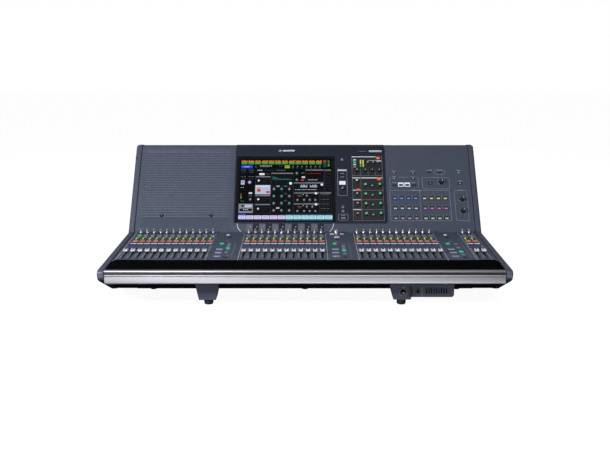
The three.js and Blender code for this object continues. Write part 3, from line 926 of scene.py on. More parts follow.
def fader_caps():
    """A white cap with a hollow along its top, on a narrow black foot, one for each fader."""
    height, lift = 12.5, 0.8
    half, rim = 10.3, 7.2  # half the length of the cap, and of its hollow
    shoulder, under = 1.4, 6.6  # the radius of its upper edges, and the height of its underside
    widths = [(-6.0, 4.2), (-5.8, 2.6), (-5.2, 0.3), (-4.8, 0), (-4.4, 0.3), (-2.0, 3.3), (0, 4.3)]
    slices = widths + [(-x, drop) for x, drop in widths[-2::-1]]

    def section(drop):
        """The cap from the side, where its top lies lower by the drop."""
        top = height - drop
        brow = min(8.6, top - 0.3)
        corners = [
            (half - 0.2, under, 0),
            (half, brow, 0.4),
            (rim, top, shoulder),
            (0, top - 0.9, 12),
            (-rim, top, shoulder),
            (-half, brow, 0.4),
            (0.2 - half, under, 0),
        ]
        return anticlockwise(arcs(corners, step=math.radians(12)))

    cap = Piece("fader_cap")
    place = spot(ORIGIN, z=lift)
    cap.add(bar([(section(drop), x) for x, drop in slices]), CAP_TOP, place)
    foot = [(rounded(5, 14, 1.5), 0), (rounded(5.4, 15, 1.5), 3.5), (rounded(10.4, 20, 1.5), under + 0.2)]
    cap.add(loft([raised(outline, z) for outline, z in foot]), CAP_BODY, place)
    cap.add(prism(rounded(2, 8, 0.4, 2), -20, 1), STEEL)
    mesh = cap.mesh()
    for name, x in zip(FADERS, STRIPS):
        show(f"{name}_cap", mesh, [name], name, spot(DECK, x, FADER_REST))


def encoders():
    """The channel encoders: a slim silver knob in two tiers."""
    lower = [(4.0, 2.6), (4.2, 2.9, 0.0), (4.2, 3.2, 0.4), (3.9, 9.6, 0.4), (3.5, 10.4, 0.05), (2.7, 10.6)]
    upper = [(2.8, 12.2), (3.2, 12.4), (3.1, 15.6), (2.7, 16.3), (1.8, 16.5)]
    made = Piece("encoder").add(turned(lower, 36, 12), KNOB_SILVER).add(turned(upper, 32), KNOB_GREY)
    made.add(turned([(5.0, 0), (5.0, 0.8), (4.1, 1.4), (4.0, 2.7)], 32), KNOB_DARK)
    made.add(turned([(2.4, 10.5), (2.4, 12.3)], 24), KNOB_DARK)
    made.add(border(circle(6.4, 32), 1.2, 0, 0.2), BLACK)
    made.add(prism(rounded(0.7, 1.8, 0.3, 2, 0, 1.0), 16.4, 16.65), KNOB_DARK)
    mesh = made.mesh()
    for number, x in enumerate(STRIPS, 1):
        show(f"encoder_{number:02d}", mesh, place=spot(DECK, x + 0.5, ENCODER_Y))


def panel_knob(name, node, place, radius, height, finish):
    """A knob that turns on its own shaft, and stands for its CAD node."""
    profile = [
        (3, -9),
        (3, 0.5),
        (radius, 0.5),
        (radius, 1.6),
        (radius - 0.9, 2.4),
        (radius - 1.0, 2.8, 0.6),
        (radius - 1.5, height - 1.6, 0.6),
        (radius - 2.0, height - 0.5, 0.1),
        (radius - 3.0, height - 0.05),
    ]
    made = Piece(name).add(turned(profile, 60, 20), finish)
    made.add(prism(rounded(0.9, radius * 0.55, 0.3, 2, 0, radius * 0.32), height - 0.1, height), PRINT)
    show(name, made.mesh(), [node], node, place)


# ---------- the deck ----------

# The rows of each channel strip, up the deck from its front edge.
DISPLAY_Y, LIT_KEY_Y, METER_Y, LOWER_KEY_Y, UPPER_KEY_Y = 288, 324.5, 357, 375, 397
DISPLAY_BARS = ("plum", "navy", "brown", "teal", "plum", "navy", "navy", "teal")
BAY_EDGES = {"left": (-545, -287), "centre": (-194, 66), "right": (156, 412), "master": (495.5, 538.5)}
SLOT_WIDTH, SLOT_LENGTH = 5.4, 120
TOUCH_TURN_AT = (101, 416)  # the touch-and-turn knob, on the deck


def strip_controls(bay, strips):
    """Keys, meter, lit key and name display of each channel strip of a bay."""
    made = Piece(f"{bay}_bay_controls")
    for x in strips:
        number = STRIPS.index(x)
        key(made, DECK, x + 1.2, UPPER_KEY_Y, 13, 8, LAMPS["green"] if number == 0 else KEY_GREY)
        caption(made, DECK, x + 1, UPPER_KEY_Y - 10.5, 9)
        key(made, DECK, x + 3.5, LOWER_KEY_Y, 9.5, 7.5, KEY_GREY)
        caption(made, DECK, x + 3, LOWER_KEY_Y - 9, 7)
        strip_meter(made, x)
        key(made, DECK, x + 5.6, METER_Y - 2, 6.5, 9, KEY_DARK)
        glow = LAMPS["coral" if (number * 5 + number // 3) % 4 in (1, 2) else "amber"]
        key(made, DECK, x + 1.4, LIT_KEY_Y, 13.6, 9.5, glow, 2.2)
        name_display(made, x, number)
    made.make("key_grey")


def strip_meter(piece, x):
    """Two columns of small lamps on a dark field."""
    plate(piece, DECK, x - 3.6, METER_Y, 8.6, 26, BLACK, 0, 0.15, 1)
    for k in range(7):
        y = METER_Y - 10 + 3.4 * k
        plate(piece, DECK, x - 1.8, y, 3.2, 2.6, LAMPS["yellow" if k > 3 else "lime"], 0.1, 0.4, 0.4, steps=2)
        plate(piece, DECK, x - 5.4, y, 2.8, 2.6, LAMPS["moss"], 0.1, 0.4, 0.4, steps=2)


def name_display(piece, x, number):
    """A strip's display: a pale field with two lines of generic text, and coloured bars under it."""
    here = spot(DECK, x, DISPLAY_Y)
    field = LAMPS["cyan" if number % 5 == 3 else "ice"]
    plate(piece, here, 1, 0, 19.4, 22, BLACK, 0, 0.9, 1.2, 0.3)
    plate(piece, here, 1.2, 5, 17.4, 9, field, 0.8, 1.0, 0.8)
    plate(piece, here, 1.2, -4.5, 17.4, 6, LAMPS[DISPLAY_BARS[number * 3 % 8]], 0.8, 1.0, 0.8)
    for k, share in enumerate((0.62, 0.44)):
        plate(piece, here, k - 0.5, 7 - 3.5 * k, 17 * share, 0.9, LAMPS["navy"], 0.9, 1.1, 0.2, steps=2)
    plate(piece, here, 1, -19.5, 16, 5, LAMPS[DISPLAY_BARS[number % 8]], 0, 0.5, 0.8, 0.2)


def strip_print(bay, strips):
    """Scales beside the slots, captions under the displays and the bay's outline."""
    made = Piece(f"{bay}_bay_print")
    slot_rim = border(rounded(SLOT_WIDTH, SLOT_LENGTH, SLOT_WIDTH / 2, 6), 1.3, 0, MARK)
    for x in strips:
        for k in range(15):
            y = FADER_Y - TRAVEL / 2 + TRAVEL * k / 14
            numbered = k % 2 == 0
            length = 5.4 if numbered else 3.4
            mark(made, DECK, x - 4.2 - length / 2, y, length, 1.0, PRINT)
            if numbered:
                mark(made, DECK, x - 11.4, y, 2.0, 2.2, PRINT)
                mark(made, DECK, x + 5.2, y, 2.2, 0.8, PRINT_DIM_AND_HIGHLIGHT)
        caption(made, DECK, x + 1, 312, 12, PRINT_DIM_AND_HIGHLIGHT)
        made.add(slot_rim, BLACK, spot(DECK, x, FADER_Y))
        mark(made, DECK, x, FADER_Y - 63, 2.6, 9, BLACK, radius=1.2)
    for way, x in zip((-1, 1), BAY_EDGES[bay]):
        if bay == "centre":
            outline_from_screen(made, x, way)
        else:
            mark(made, DECK, x, 271, 1.1, 322, PRINT)
    made.make("marking_white")


def outline_from_screen(piece, x, way):
    """The centre bay's outline, which sweeps out from under the screen and runs down the deck."""
    bend = [(x + way * out, up) for out, up in ((13, 2), (22, 12), (26, 22), (27, 31.5))]
    beside = [(u + way * 3.4, v) for u, v in bend]
    foot = [(x, 110), (x, 418), (x + way * 2.5, 424), (x + way * 6.5, 430)]
    piece.add(prism(line(bend, 2.4), 0, 0.1), PRINT, BRIDGE)
    piece.add(prism(line(beside, 1.6), 0, 0.1), KEY_DARK, BRIDGE)
    piece.add(prism(line(foot, 1.1), 0, MARK), PRINT, DECK)


def screen_stripes():
    """Bands that lead from the centre bay's strips up to the screen, with a lamp on every other one."""
    made = Piece("screen_stripes")
    for i, x in enumerate(BAYS["centre"]):
        lit = i % 2 == 1
        plate(made, BRIDGE, x, 18.3, PITCH - 1.5, 26, BEZEL if lit else STRIPE, radius=1.5)
        disc(made, BRIDGE, x + 3, 20, 1.2, LAMPS["white"] if lit else PRINT, 0.05, 0.5, 0.2, 16)
    made.make("marking_white")


def bank_panel(name, x, bars_x, lamp_keys, dark_keys, captioned):
    """The keys beside a bay: three long pale ones, a column of small ones, and dark ones with captions."""
    made = Piece(name)
    key(made, DECK, bars_x, 293, 12, 10, LAMPS["green"])
    caption(made, DECK, bars_x, 281, 12, PRINT_DIM_AND_HIGHLIGHT)
    for y in (227, 188, 148.5):
        key(made, DECK, bars_x, y, 20.5, 6.5, KEY_BLUE)
        for k in (-1, 0, 1):
            mark(made, spot(DECK, z=2.0), bars_x + 5.5 * k, y, 2.6, 1.2, KEY_GREY)
        caption(made, DECK, bars_x, y - 12, 15, PRINT_DIM_AND_HIGHLIGHT)
    for y, finish in lamp_keys:
        if finish is None:
            caption(made, DECK, x, y, 9)
        else:
            key(made, DECK, x, y, 11, 14 if finish == LAMPS["green"] else 9, finish)
    mark(made, DECK, x + 18, 220, 0.9, 165, PRINT_DIM_AND_HIGHLIGHT)
    for row in dark_keys:
        key(made, DECK, *row, KEY_DARK)
    captions(made, DECK, PRINT, captioned)
    return made


def bank_panels():
    grey, green = KEY_GREY, LAMPS["green"]
    column = [(288, grey), (264, grey), (238, green), (210, None), (190, grey)]
    dark_keys = [(-238, 372, 12, 9), (-232, 136, 11, 8)]
    first = bank_panel("first_bank_panel", -232, -256, column, dark_keys, [(-240, 326, 10)])
    plate(first, DECK, -246.4, 404, 10, 5, LAMPS["white"], 0, 1.2, 1, 0.3)
    disc(first, DECK, -225, 159, 2.0, LAMPS["red"], 0, 1.0, 0.4, 20)
    first.make("key_grey")

    column = [(296, None), (265, grey), (240, grey), (215, green), (177, grey)]
    dark_keys = [(117, 139, 11, 8), (101, 343, 12, 9)]
    second = bank_panel("second_bank_panel", 117, 91, column, dark_keys, [(103, 319, 18)])
    for row in ((86.5, 415, 13, 8), (118.5, 416, 12, 8), (101, 373.5, 17, 8)):
        key(second, DECK, *row, KEY_PALE)
    disc(second, DECK, 101, 394, 2.6, LAMPS["magenta"], 0, 1.2, 0.4, 20)
    ring(second, DECK, *TOUCH_TURN_AT, 10.2, 1.0, PRINT_DIM_AND_HIGHLIGHT, 0, 0.12, 40)
    second.make("key_grey")

    column = [(290, grey), (266, None), (245, grey), (199, green), (165, grey)]
    dark_keys = [(449, 372, 12, 9), (464, 136, 11, 8)]
    third = bank_panel("third_bank_panel", 464, 439, column, dark_keys, [(451, 322, 13)])
    plate(third, DECK, 449, 404, 10, 5, LAMPS["white"], 0, 1.2, 1, 0.3)
    third.make("key_grey")


def deck_edge_highlight():
    """The rolled front edge of the deck panel, in light grey: a painted highlight where the edge catches the
    light.
    """
    low = box_of("fader_deck")[0]
    outline = [Vector(point) for point in ((0, 0), (3.2, 0), (3.2, 0.25), (1.4, 0.7), (0.2, 0.5))]
    place = spot(DECK, y=(low.y - FRONT) / math.cos(DECK_SLOPE))
    made = Piece("deck_front_edge_highlight").add(bar([(outline, -INSIDE), (outline, INSIDE)]), PRINT_DIM_AND_HIGHLIGHT, place)
    made.make("deck_paint")


# ---------- the bridge ----------


def pegs():
    """Two threaded pegs in the left panel, for a stand or a lamp."""
    made = Piece("accessory_pegs")
    for x in (-469.2, -307.7):
        here = spot(BRIDGE, x, 60.9)
        made.add(turned([(5.6, 0), (5.6, 0.8), (5.1, 1.3), (4.6, 1.5)], 40), GLOSS_BLACK, here)
        made.add(turned([(3.9, 1.2), (3.9, 5.4), (3.4, 6.4), (2.2, 6.9)], 40), GLOSS_BLACK, here)
        made.add(turned([(1.4, 6.0), (1.4, 6.95)], 6), STEEL, here)
    made.make("connector_metal")


def channel_section():
    """The selected-channel controls on the right of the screen."""
    made = Piece("channel_controls")
    for x, y in ((124.4, 267.5), (124.4, 88.6), (124.1, 73.5)):
        caption(made, MODULE, x, y + 5.2, 8)
        key(made, MODULE, x, y, 9, 4.5, KEY_GREY)
    box_line(made, MODULE, 108.5, 132, 140.5, 232)
    mark(made, MODULE, 124.5, 228.6, 30, 6.5, PRINT, radius=1)
    captions(made, MODULE, PRINT, [(124.5, 216, 12), (124.5, 203, 12)])
    key(made, MODULE, 124.5, 180, 21, 13, LAMPS["white"])
    rotary(made, MODULE, 124, 156.5, 5.2, 9, KNOB_GREY)
    box_line(made, MODULE, 109, 42, 141, 65)
    caption(made, MODULE, 125, 60, 14)
    key(made, MODULE, 125, 50, 14, 6, KEY_GREY)

    left, right, bottom, top = 157.4, 259.5, 40.2, 282.4
    middle, across = (left + right) / 2, right - left
    head_end = 240
    box_line(made, MODULE, left, bottom, right, top, 2, 0.9, KEY_GREY)
    plate(made, MODULE, middle, (bottom + top) / 2, across - 2, top - bottom - 2, FIELD, top=0.06, radius=2)
    mark(made, MODULE, (left + head_end) / 2, top - 2.2, head_end - left - 2, 4, PRINT)
    input_rows(made)
    mark(made, MODULE, middle, 208.5, across - 3, 0.8, PRINT_DIM_AND_HIGHLIGHT)
    equaliser_rows(made)
    made.make("knob_dark")


def input_rows(piece):
    """Upper part of the section: four keys, two meters and two rows of knobs."""
    key(piece, MODULE, 246, 274.5, 12, 7, LAMPS["orange"])
    for k, finish in enumerate((KEY_PALE, LAMPS["green"], KEY_PALE, KEY_GREY)):
        key(piece, MODULE, 167, 267.5 - 9 * k, 10, 5, finish)
    for x, quiet in ((187, "green"), (195.5, "lime")):
        plate(piece, MODULE, x, 254.5, 6, 29, BLACK, 0, 0.3, 0.8)
        for k in range(9):
            lamp = LAMPS[quiet if k < 4 else "yellow"]
            plate(piece, MODULE, x, 242.5 + 3 * k, 4.4, 2.2, lamp, 0.2, 0.5, 0.4, steps=2)
    mark(piece, MODULE, 232, 266, 44, 1.0, PRINT)
    mark(piece, MODULE, 248, 264, 18, 4, PRINT, radius=1)
    for x, y in ((210, 254), (228, 255), (244, 255)):
        rotary(piece, MODULE, x, y, 4.6, 9, KNOB_GREY)
    for x in (171.5, 199.7, 222.8, 246.7):
        rotary(piece, MODULE, x, 224.3, 6.2, 10, KNOB_DARK)
        mark(piece, MODULE, x, 233, 7, 0.9, PRINT_DIM_AND_HIGHLIGHT)
    marks(piece, MODULE, PRINT_DIM_AND_HIGHLIGHT, [(x, 222, 0.7, 22) for x in (185.5, 211, 235)])


def equaliser_rows(piece):
    """Lower part of the section: four rows with a ringed knob, a marked one and a green one each."""
    green, orange, red = LAMPS["green"], LAMPS["orange"], LAMPS["red"]
    marks(piece, MODULE, PRINT, [(171, 199, 26, 4.2), (222, 199, 72, 4.2)])
    key(piece, MODULE, 246.4, 195, 12, 9, orange)
    mark(piece, MODULE, 186.3, 122, 0.9, 158, KEY_GREY)
    for y in (152.5, 117.5, 81):
        mark(piece, MODULE, 222, y, 72, 0.8, PRINT_DIM_AND_HIGHLIGHT)
        mark(piece, MODULE, 171, y, 27, 3.4, PRINT, radius=0.8)
    for y, lamp in ((170.1, red), (134.7, orange), (98.8, orange), (62.4, orange)):
        rotary(piece, MODULE, 200, y, 6.4, 10, green, lamp, 8)
        piece.add(turned([(5.4, 0.1), (5.2, 3.6), (4.4, 4.2)], 32), KNOB_DARK, spot(MODULE, 223.5, y - 1))
        top = spot(MODULE, z=4.1)
        mark(piece, top, 223.5, y - 1, 7.4, 2.2, green, 0.2, 0.9)
        mark(piece, top, 223.5, y - 1.5, 2.4, 6.2, green, 0.2, 0.9)
        rotary(piece, MODULE, 247.5, y + 1, 6.4, 10, green)
        mark(piece, MODULE, 248, y + 12, 1.2, 4.5, PRINT_DIM_AND_HIGHLIGHT)
    key(piece, MODULE, 176, 154.7, 12, 6, orange)
    for x, y, cap in ((172.2, 185.5, LAMPS["white"]), (171.7, 136, green), (172.4, 100, LAMPS["rose"])):
        rotary(piece, MODULE, x, y, 5, 10, cap)
    rotary(piece, MODULE, 171.5, 62.4, 5, 10, KNOB_GREY, red, 11)


def module_marks():
    """Two generic badges at the top of the centre module."""
    made = Piece("module_badges")
    thick = 0.25
    ring(made, MODULE, -84, 303.8, 4.2, 1.1, PRINT, 0, thick)
    disc(made, MODULE, -84, 303.8, 1.6, PRINT, 0, thick)
    mark(made, MODULE, -55.5, 303.8, 42, 5.5, PRINT, thick, 2.6)
    caption(made, MODULE, 194, 301.8, 30, PRINT_DIM_AND_HIGHLIGHT, 1.2)
    mark(made, MODULE, 238, 302.6, 44, 5, PRINT, thick, 2.3)
    mark(made, MODULE, 238, 297.8, 44, 0.9, PRINT_DIM_AND_HIGHLIGHT)
    made.make("marking_white")


def right_panel():
    """Shutdown, monitor, talkback and user keys on the right of the bridge."""
    made = Piece("right_panel_controls")
    for x in (298, 361):
        for y in (219.7, 197.8):
            caption(made, BRIDGE, x, y + 7, 14)
            windowed_key(made, x, y, 12, 5, 0.8)
    mark(made, BRIDGE, 329.5, 203.5, 34, 1.2, PRINT_DIM_AND_HIGHLIGHT)
    for side, x in ((-1, 283), (1, 378)):
        made.add(prism(line([(x, 163), (x, 198), (x - side * 5, 203)], 0.9), 0, MARK), PRINT_DIM_AND_HIGHLIGHT, BRIDGE)
    for x, lit in ((298, False), (319.2, True), (340.3, True), (361.5, False)):
        if lit:
            mark(made, BRIDGE, x, 175.5, 18.5, 15.5, LAMPS["white"], 0.3, 1)
        else:
            caption(made, BRIDGE, x, 182.5, 13)
        windowed_key(made, x, 173.5, 13, 6.5, 0.5, height=2.6)

    for x in USB_XS:
        caption(made, BRIDGE, x, USB_Y + 8.5, 17)
        usb_socket(made, x)
    box_line(made, BRIDGE, 433, 213, 469, 232, 8, 1.0)
    made.add(turned([(2.6, 0), (2.6, 0.8), (1.8, 1.6)], 24), LAMPS["green"], spot(BRIDGE, 514.7, 220.9))
    ring(made, BRIDGE, 514.7, 220.9, 3.4, 0.8, BLACK, 0, 0.4, 24)
    captions(made, BRIDGE, PRINT, [(514.7, 230, 14), (515.6, 189, 14)])
    windowed_key(made, 515.6, 180, 12, 6, 1)

    box_line(made, BRIDGE, 390.4, 158.9, 481.4, 202.4, 4)
    key(made, BRIDGE, 417.4, 180.6, 13, 9, KEY_DARK)
    mark(made, spot(BRIDGE, z=2), 417.4, 179.6, 6, 2.2, KEY_GREY)
    box_line(made, BRIDGE, 280, 41.7, 479.7, 154.4, 4)
    mark(made, BRIDGE, 380.3, 98, 0.8, 111, PRINT_DIM_AND_HIGHLIGHT)
    user_keys(made)
    box_line(made, BRIDGE, 494.1, 41.7, 537, 154.4, 4)
    for x, y, width in ((436, 202.2, 18), (370, 154.2, 36), (515.5, 154.2, 16)):
        caption(made, BRIDGE, x, y, width, PRINT, 1.6)
    for x, y in ((453.9, 184), (518.5, 120.5), (518.1, 77)):
        rotary(made, BRIDGE, x, y, 7.8, 12, KNOB_DARK)
        scale(made, BRIDGE, x, y, 11.6)
    made.make("knob_dark")


def windowed_key(piece, x, y, width, depth, lower, height=2.0):
    """A dark key with a small pale mark on it, a little lower than its middle."""
    key(piece, BRIDGE, x, y, width, depth, KEY_DARK, height)
    mark(piece, spot(BRIDGE, z=height if height == 2 else height - 0.1), x, y - lower, 6, 1.6, KEY_PALE)


def user_keys(piece):
    """Two blocks of soft keys, whose windows glow, each over a surround that also glows in a dim colour:
    painted light of the key spread on the panel.
    """
    glows = (("soft_blue", "soft_lime"), ("soft_teal", "soft_rose"), ("soft_lilac", "soft_green"))
    painted_glows = (("navy", "dusk"), ("dusk", "plum"), ("dusk", "dusk"))
    pitch, count = 22.8, 4
    for y, row_glows, row_painted_glows in zip((122.7, 85.8, 49.4), glows, painted_glows):
        for first, glow, painted_glow in zip((296.7, 394.7), row_glows, row_painted_glows):
            for k in range(count):
                x = first + pitch * k
                # The surround glows: painted light from the key on the panel around it.
                plate(piece, BRIDGE, x, y - 0.5, 18, 9, LAMPS[painted_glow], top=0.12, radius=2)
                key(piece, BRIDGE, x, y + 2.5, 12.5, 12, KEY_DARK, 2.4)
                mark(piece, spot(BRIDGE, z=2.3), x, y - 0.2, 10.4, 5.4, LAMPS[glow], 0.25, 1.4)
                mark(piece, BRIDGE, x, y + 13, 2.2, 1.4, PRINT_DIM_AND_HIGHLIGHT)
                if k < count - 1:
                    mark(piece, BRIDGE, x + pitch / 2, y + 6, 0.7, 16, PRINT_DIM_AND_HIGHLIGHT)
            caption(piece, BRIDGE, first + 34, 143.5, 18, PRINT_DIM_AND_HIGHLIGHT)


def usb_socket(piece, x):
    """A metal shell with its tongue, sunk in the panel."""
    here = spot(BRIDGE, x, USB_Y)
    piece.add(border(rounded(14.6, 7.2, 0.7, 2), 0.6, -11, -0.4), STEEL, here)
    plate(piece, here, 0, 0.9, 11.4, 2.0, BLACK, -10.5, -1.4, 0.2, steps=2)
    plate(piece, here, 0, 0, 13.8, 6.4, BLACK, -11.4, -10.6, 0.4, steps=2)


# ---------- the picture on the screen ----------

PICTURE_LEFT, PICTURE_TOP = -219.0, 273.7  # the display's upper left corner, on the bridge
PICTURE_WIDTH, PICTURE_HEIGHT = 309.0, 232.0
PICTURE_STEP = 0.05  # from one level of the picture's shapes to the next
PICTURE_GLOW = 0.9
PICTURE_COLOURS = {
    "white": (226, 228, 236),
    "grey": (128, 132, 142),
    "dim": (66, 70, 80),
    "dark": (11, 13, 18),
    "black": (3, 4, 7),
    "blue": (52, 72, 214),
    "teal": (58, 148, 124),
    "teal_dark": (18, 84, 70),
    "green": (52, 172, 70),
    "lime": (150, 190, 50),
    "orange": (216, 122, 40),
    "red": (200, 48, 60),
    "purple": (142, 88, 180),
    "plum": (54, 34, 92),
    "lilac": (206, 200, 232),
    "cyan": (176, 220, 232),
    "sea": (28, 98, 120),
    "sky": (176, 190, 212),
}


class Picture:
    """Flat lit shapes, placed in millimetres right of and below the display's upper left corner."""

    def __init__(self):
        self.piece = Piece("screen_picture")
        self.origin = spot(GLASS, PICTURE_LEFT, PICTURE_TOP)
        self.finishes = {}
        for name, colour in PICTURE_COLOURS.items():
            self.finishes[name] = light(f"picture_{name}", colour, PICTURE_GLOW)

    def box(self, x, y, width, height, colour, level=1, radius=0.0):
        centre = (x + width / 2, -y - height / 2)
        finish = self.finishes[colour]
        mark(self.piece, self.origin, *centre, width, height, finish, PICTURE_STEP * level, radius)

    def dot(self, x, y, radius, colour, level=2):
        disc(self.piece, self.origin, x, -y, radius, self.finishes[colour], 0, PICTURE_STEP * level, sides=20)

    def dashes(self, x, y, width, count, colour="grey", height=1.1, level=2):
        """A line of generic text."""
        pitch = width / count
        for k in range(count):
            self.box(x + pitch * k, y, pitch * (0.55 + 0.1 * (k * 7 % 3)), height, colour, level)

    def dial(self, x, y, radius, colour="grey"):
        """A drawn knob: a dark ring, a coloured face and a pointer."""
        self.dot(x, y, radius, "dim", 2)
        self.dot(x, y, radius * 0.8, "black", 3)
        self.dot(x, y, radius * 0.66, colour, 4)
        self.box(x - 0.35, y - radius * 0.9, 0.7, radius * 0.6, "white", 5)
        self.dashes(x - 4, y + radius + 1.2, 8, 3, "dim", 0.9)

    def switch(self, x, y, colour="white"):
        self.box(x, y, 11, 5.6, colour, 2, 1.4)
        self.box(x + 2.5, y + 2.2, 6, 1.2, "dim", 3)

    def window(self, x, y, width, height, head="grey"):
        """A framed panel with a header bar."""
        self.box(x, y, width, height, "dim", 1, 1)
        self.box(x + 0.5, y + 0.5, width - 1, height - 1, "dark", 2, 0.8)
        self.box(x + 0.5, y + 0.5, width - 1, 3.4, head, 3, 0.4)
        self.dashes(x + 2, y + 1.6, width * 0.4, 4, "dark", 1.0, 4)


def screen_picture():
    """A generic mixer page: meters on top, a channel overview, dials and a row of tabs."""
    view = Picture()
    view.box(0, 0, PICTURE_WIDTH, PICTURE_HEIGHT, "black", 0.6)
    meter_row(view)
    status_row(view)
    source_column(view)
    input_column(view)
    filter_column(view)
    dynamics_column(view)
    tab_row(view)
    view.piece.make("display_picture")


def meter_row(view):
    """Twelve groups of eight meters, and the master meters at the right."""
    for group in range(12):
        left = 6 + 22.7 * group
        for k in range(8):
            x = left + 2.45 * k
            drop = 1.1 * ((group * 5 + k * 3) % 4)
            view.box(x, 6.5 + drop, 1.9, 8.4 - drop, "orange", 2)
            view.box(x, 14.9, 1.9, 7.2, "green", 2)
        view.box(left, 22.5, 19.4, 0.8, "dim", 2)
    for k in range(4):
        x = 280.5 + 2.6 * k
        view.box(x, 6.5, 2, 8, "red", 2)
        view.box(x, 14.5, 2, 19, "teal_dark", 2)
    for k in range(2):
        x = 296 + 3.4 * k
        view.box(x, 6 + 2 * k, 1.6, 12, "green", 2)
        view.box(x, 22, 1.6, 10 - 3 * k, "lime", 2)


def status_row(view):
    """The selected channel's name field, two small meters and seven round keys."""
    view.box(5, 26.5, 38, 11, "blue", 2, 2)
    view.dashes(14, 31, 20, 4, "white", 2.0, 3)
    view.dot(54, 31.5, 3.4, "teal_dark")
    view.dashes(68, 28, 40, 9, "white", 2.0)
    view.dashes(68, 33.5, 30, 6, "dim")
    view.dashes(133, 28.5, 12, 2, "purple")
    view.box(151, 27, 17, 4, "lime", 2)
    view.box(151, 33, 17, 4, "lime", 2)
    for k in range(7):
        x = 179 + 15 * k
        view.dot(x, 31, 3, "dim")
        view.dot(x, 30, 1.6, "grey", 3)
        view.dashes(x - 4, 36, 8, 2)


def source_column(view):
    """Patch fields, a microphone's icon, a level meter and the scene field, at the far left."""
    for y, colours in ((44, ("dim", "teal")), (69, ("dim", "dim"))):
        for x, colour in zip((4, 30), colours):
            view.dashes(x, y, 20, 4)
            view.box(x, y + 4, 22, 10, "dark", 1, 1)
            view.dashes(x + 4, y + 8, 14, 2, colour, 1.6)
    view.box(6, 84, 12, 16, "sky", 2, 1)
    view.box(8, 88, 8, 5, "grey", 3)
    view.dot(34.5, 91, 6.2, "purple")
    view.dot(34.5, 91, 3.4, "lilac", 3)
    view.dashes(6, 110, 12, 2, "white", 1.4)
    view.box(6, 133, 3, 20, "dark", 2)
    view.box(6, 133, 3, 6, "red", 3)
    view.box(6, 141, 3, 12, "green", 3)
    view.dashes(5, 161, 14, 3)
    view.switch(33, 129)
    view.dashes(32, 142, 13, 3)
    view.dial(38, 155, 5)
    view.box(1, 171, 47, 34, "grey", 1, 1)
    view.box(4, 189, 41, 9, "black", 2)
    view.dashes(16, 192, 18, 3, "white", 2, 3)
    view.dot(14, 179, 4, "black")
    view.box(22, 175, 22, 9, "sky", 2)
    view.box(1, 208, 24, 4, "blue", 2)


def input_column(view):
    """The input stage: three panels with a dial each, around a pale one with an icon."""
    view.box(53, 39.5, 104, 14, "dark", 1)
    view.dashes(60, 44, 18, 4, "white", 2.4)
    view.dashes(86, 45, 30, 4, "dim")
    view.dashes(124, 44.5, 30, 5, "grey", 1.6)
    view.box(66, 56.5, 18, 7.5, "white", 2, 2.4)
    view.dashes(88, 59, 12, 3)
    for y, height, dial in ((68, 32, "white"), (139, 30, "white"), (172, 34, "lilac")):
        view.window(54, y, 50, height)
        view.dial(65, y + height * 0.52, 5.2, dial)
        view.dashes(76, y + 12, 22, 5, "dim")
        view.dashes(76, y + 20, 16, 3, "dim")
    view.box(54, 102, 50, 34, "sky", 2)
    view.box(56, 104, 46, 3, "white", 3)
    view.dot(66, 116, 5.4, "red", 3)
    view.box(60, 118, 12, 9, "red", 3, 2)
    view.box(64, 113.5, 4, 3, "white", 4)
    view.box(90, 124, 12, 8, "red", 3, 1)
    view.dashes(80, 113, 18, 4, "grey", 1.4, 3)


def filter_column(view):
    """The response curve, and a grid of dials under it."""
    view.window(106, 55, 74, 50)
    left, width, steps = 110, 64, 24
    for k in range(steps):
        share = k / steps
        low_boost = 20 * math.exp(-((share - 0.05) / 0.22) ** 2)
        high_boost = 3 * math.exp(-((share - 0.62) / 0.12) ** 2)
        rise = (low_boost + high_boost) * 0.45
        x = left + width * share
        view.box(x, 80 - rise, width / steps + 0.05, rise + 2, "teal_dark", 3)
        view.box(x, 79.4 - rise, width / steps + 0.05, 1.0, "teal", 4)
    for k in range(1, 5):
        view.box(left + 13 * k, 62, 0.35, 38, "dim", 3)
    view.dot(171, 95, 5, "white", 4)
    view.dashes(157, 94, 6, 2)
    view.window(106, 106, 74, 104, "dark")
    for row in range(4):
        for column, x in enumerate((116, 141.5, 167)):
            green = column == 1 or (row + column) % 3 == 1
            view.dial(x, 116.5 + 26.5 * row, 5.6, "teal" if green else "grey")
    view.switch(124, 104.5)
    view.switch(149, 104.5, "teal")
    view.switch(149, 131, "dim")
    view.switch(149, 157, "dim")
    view.switch(124, 184)


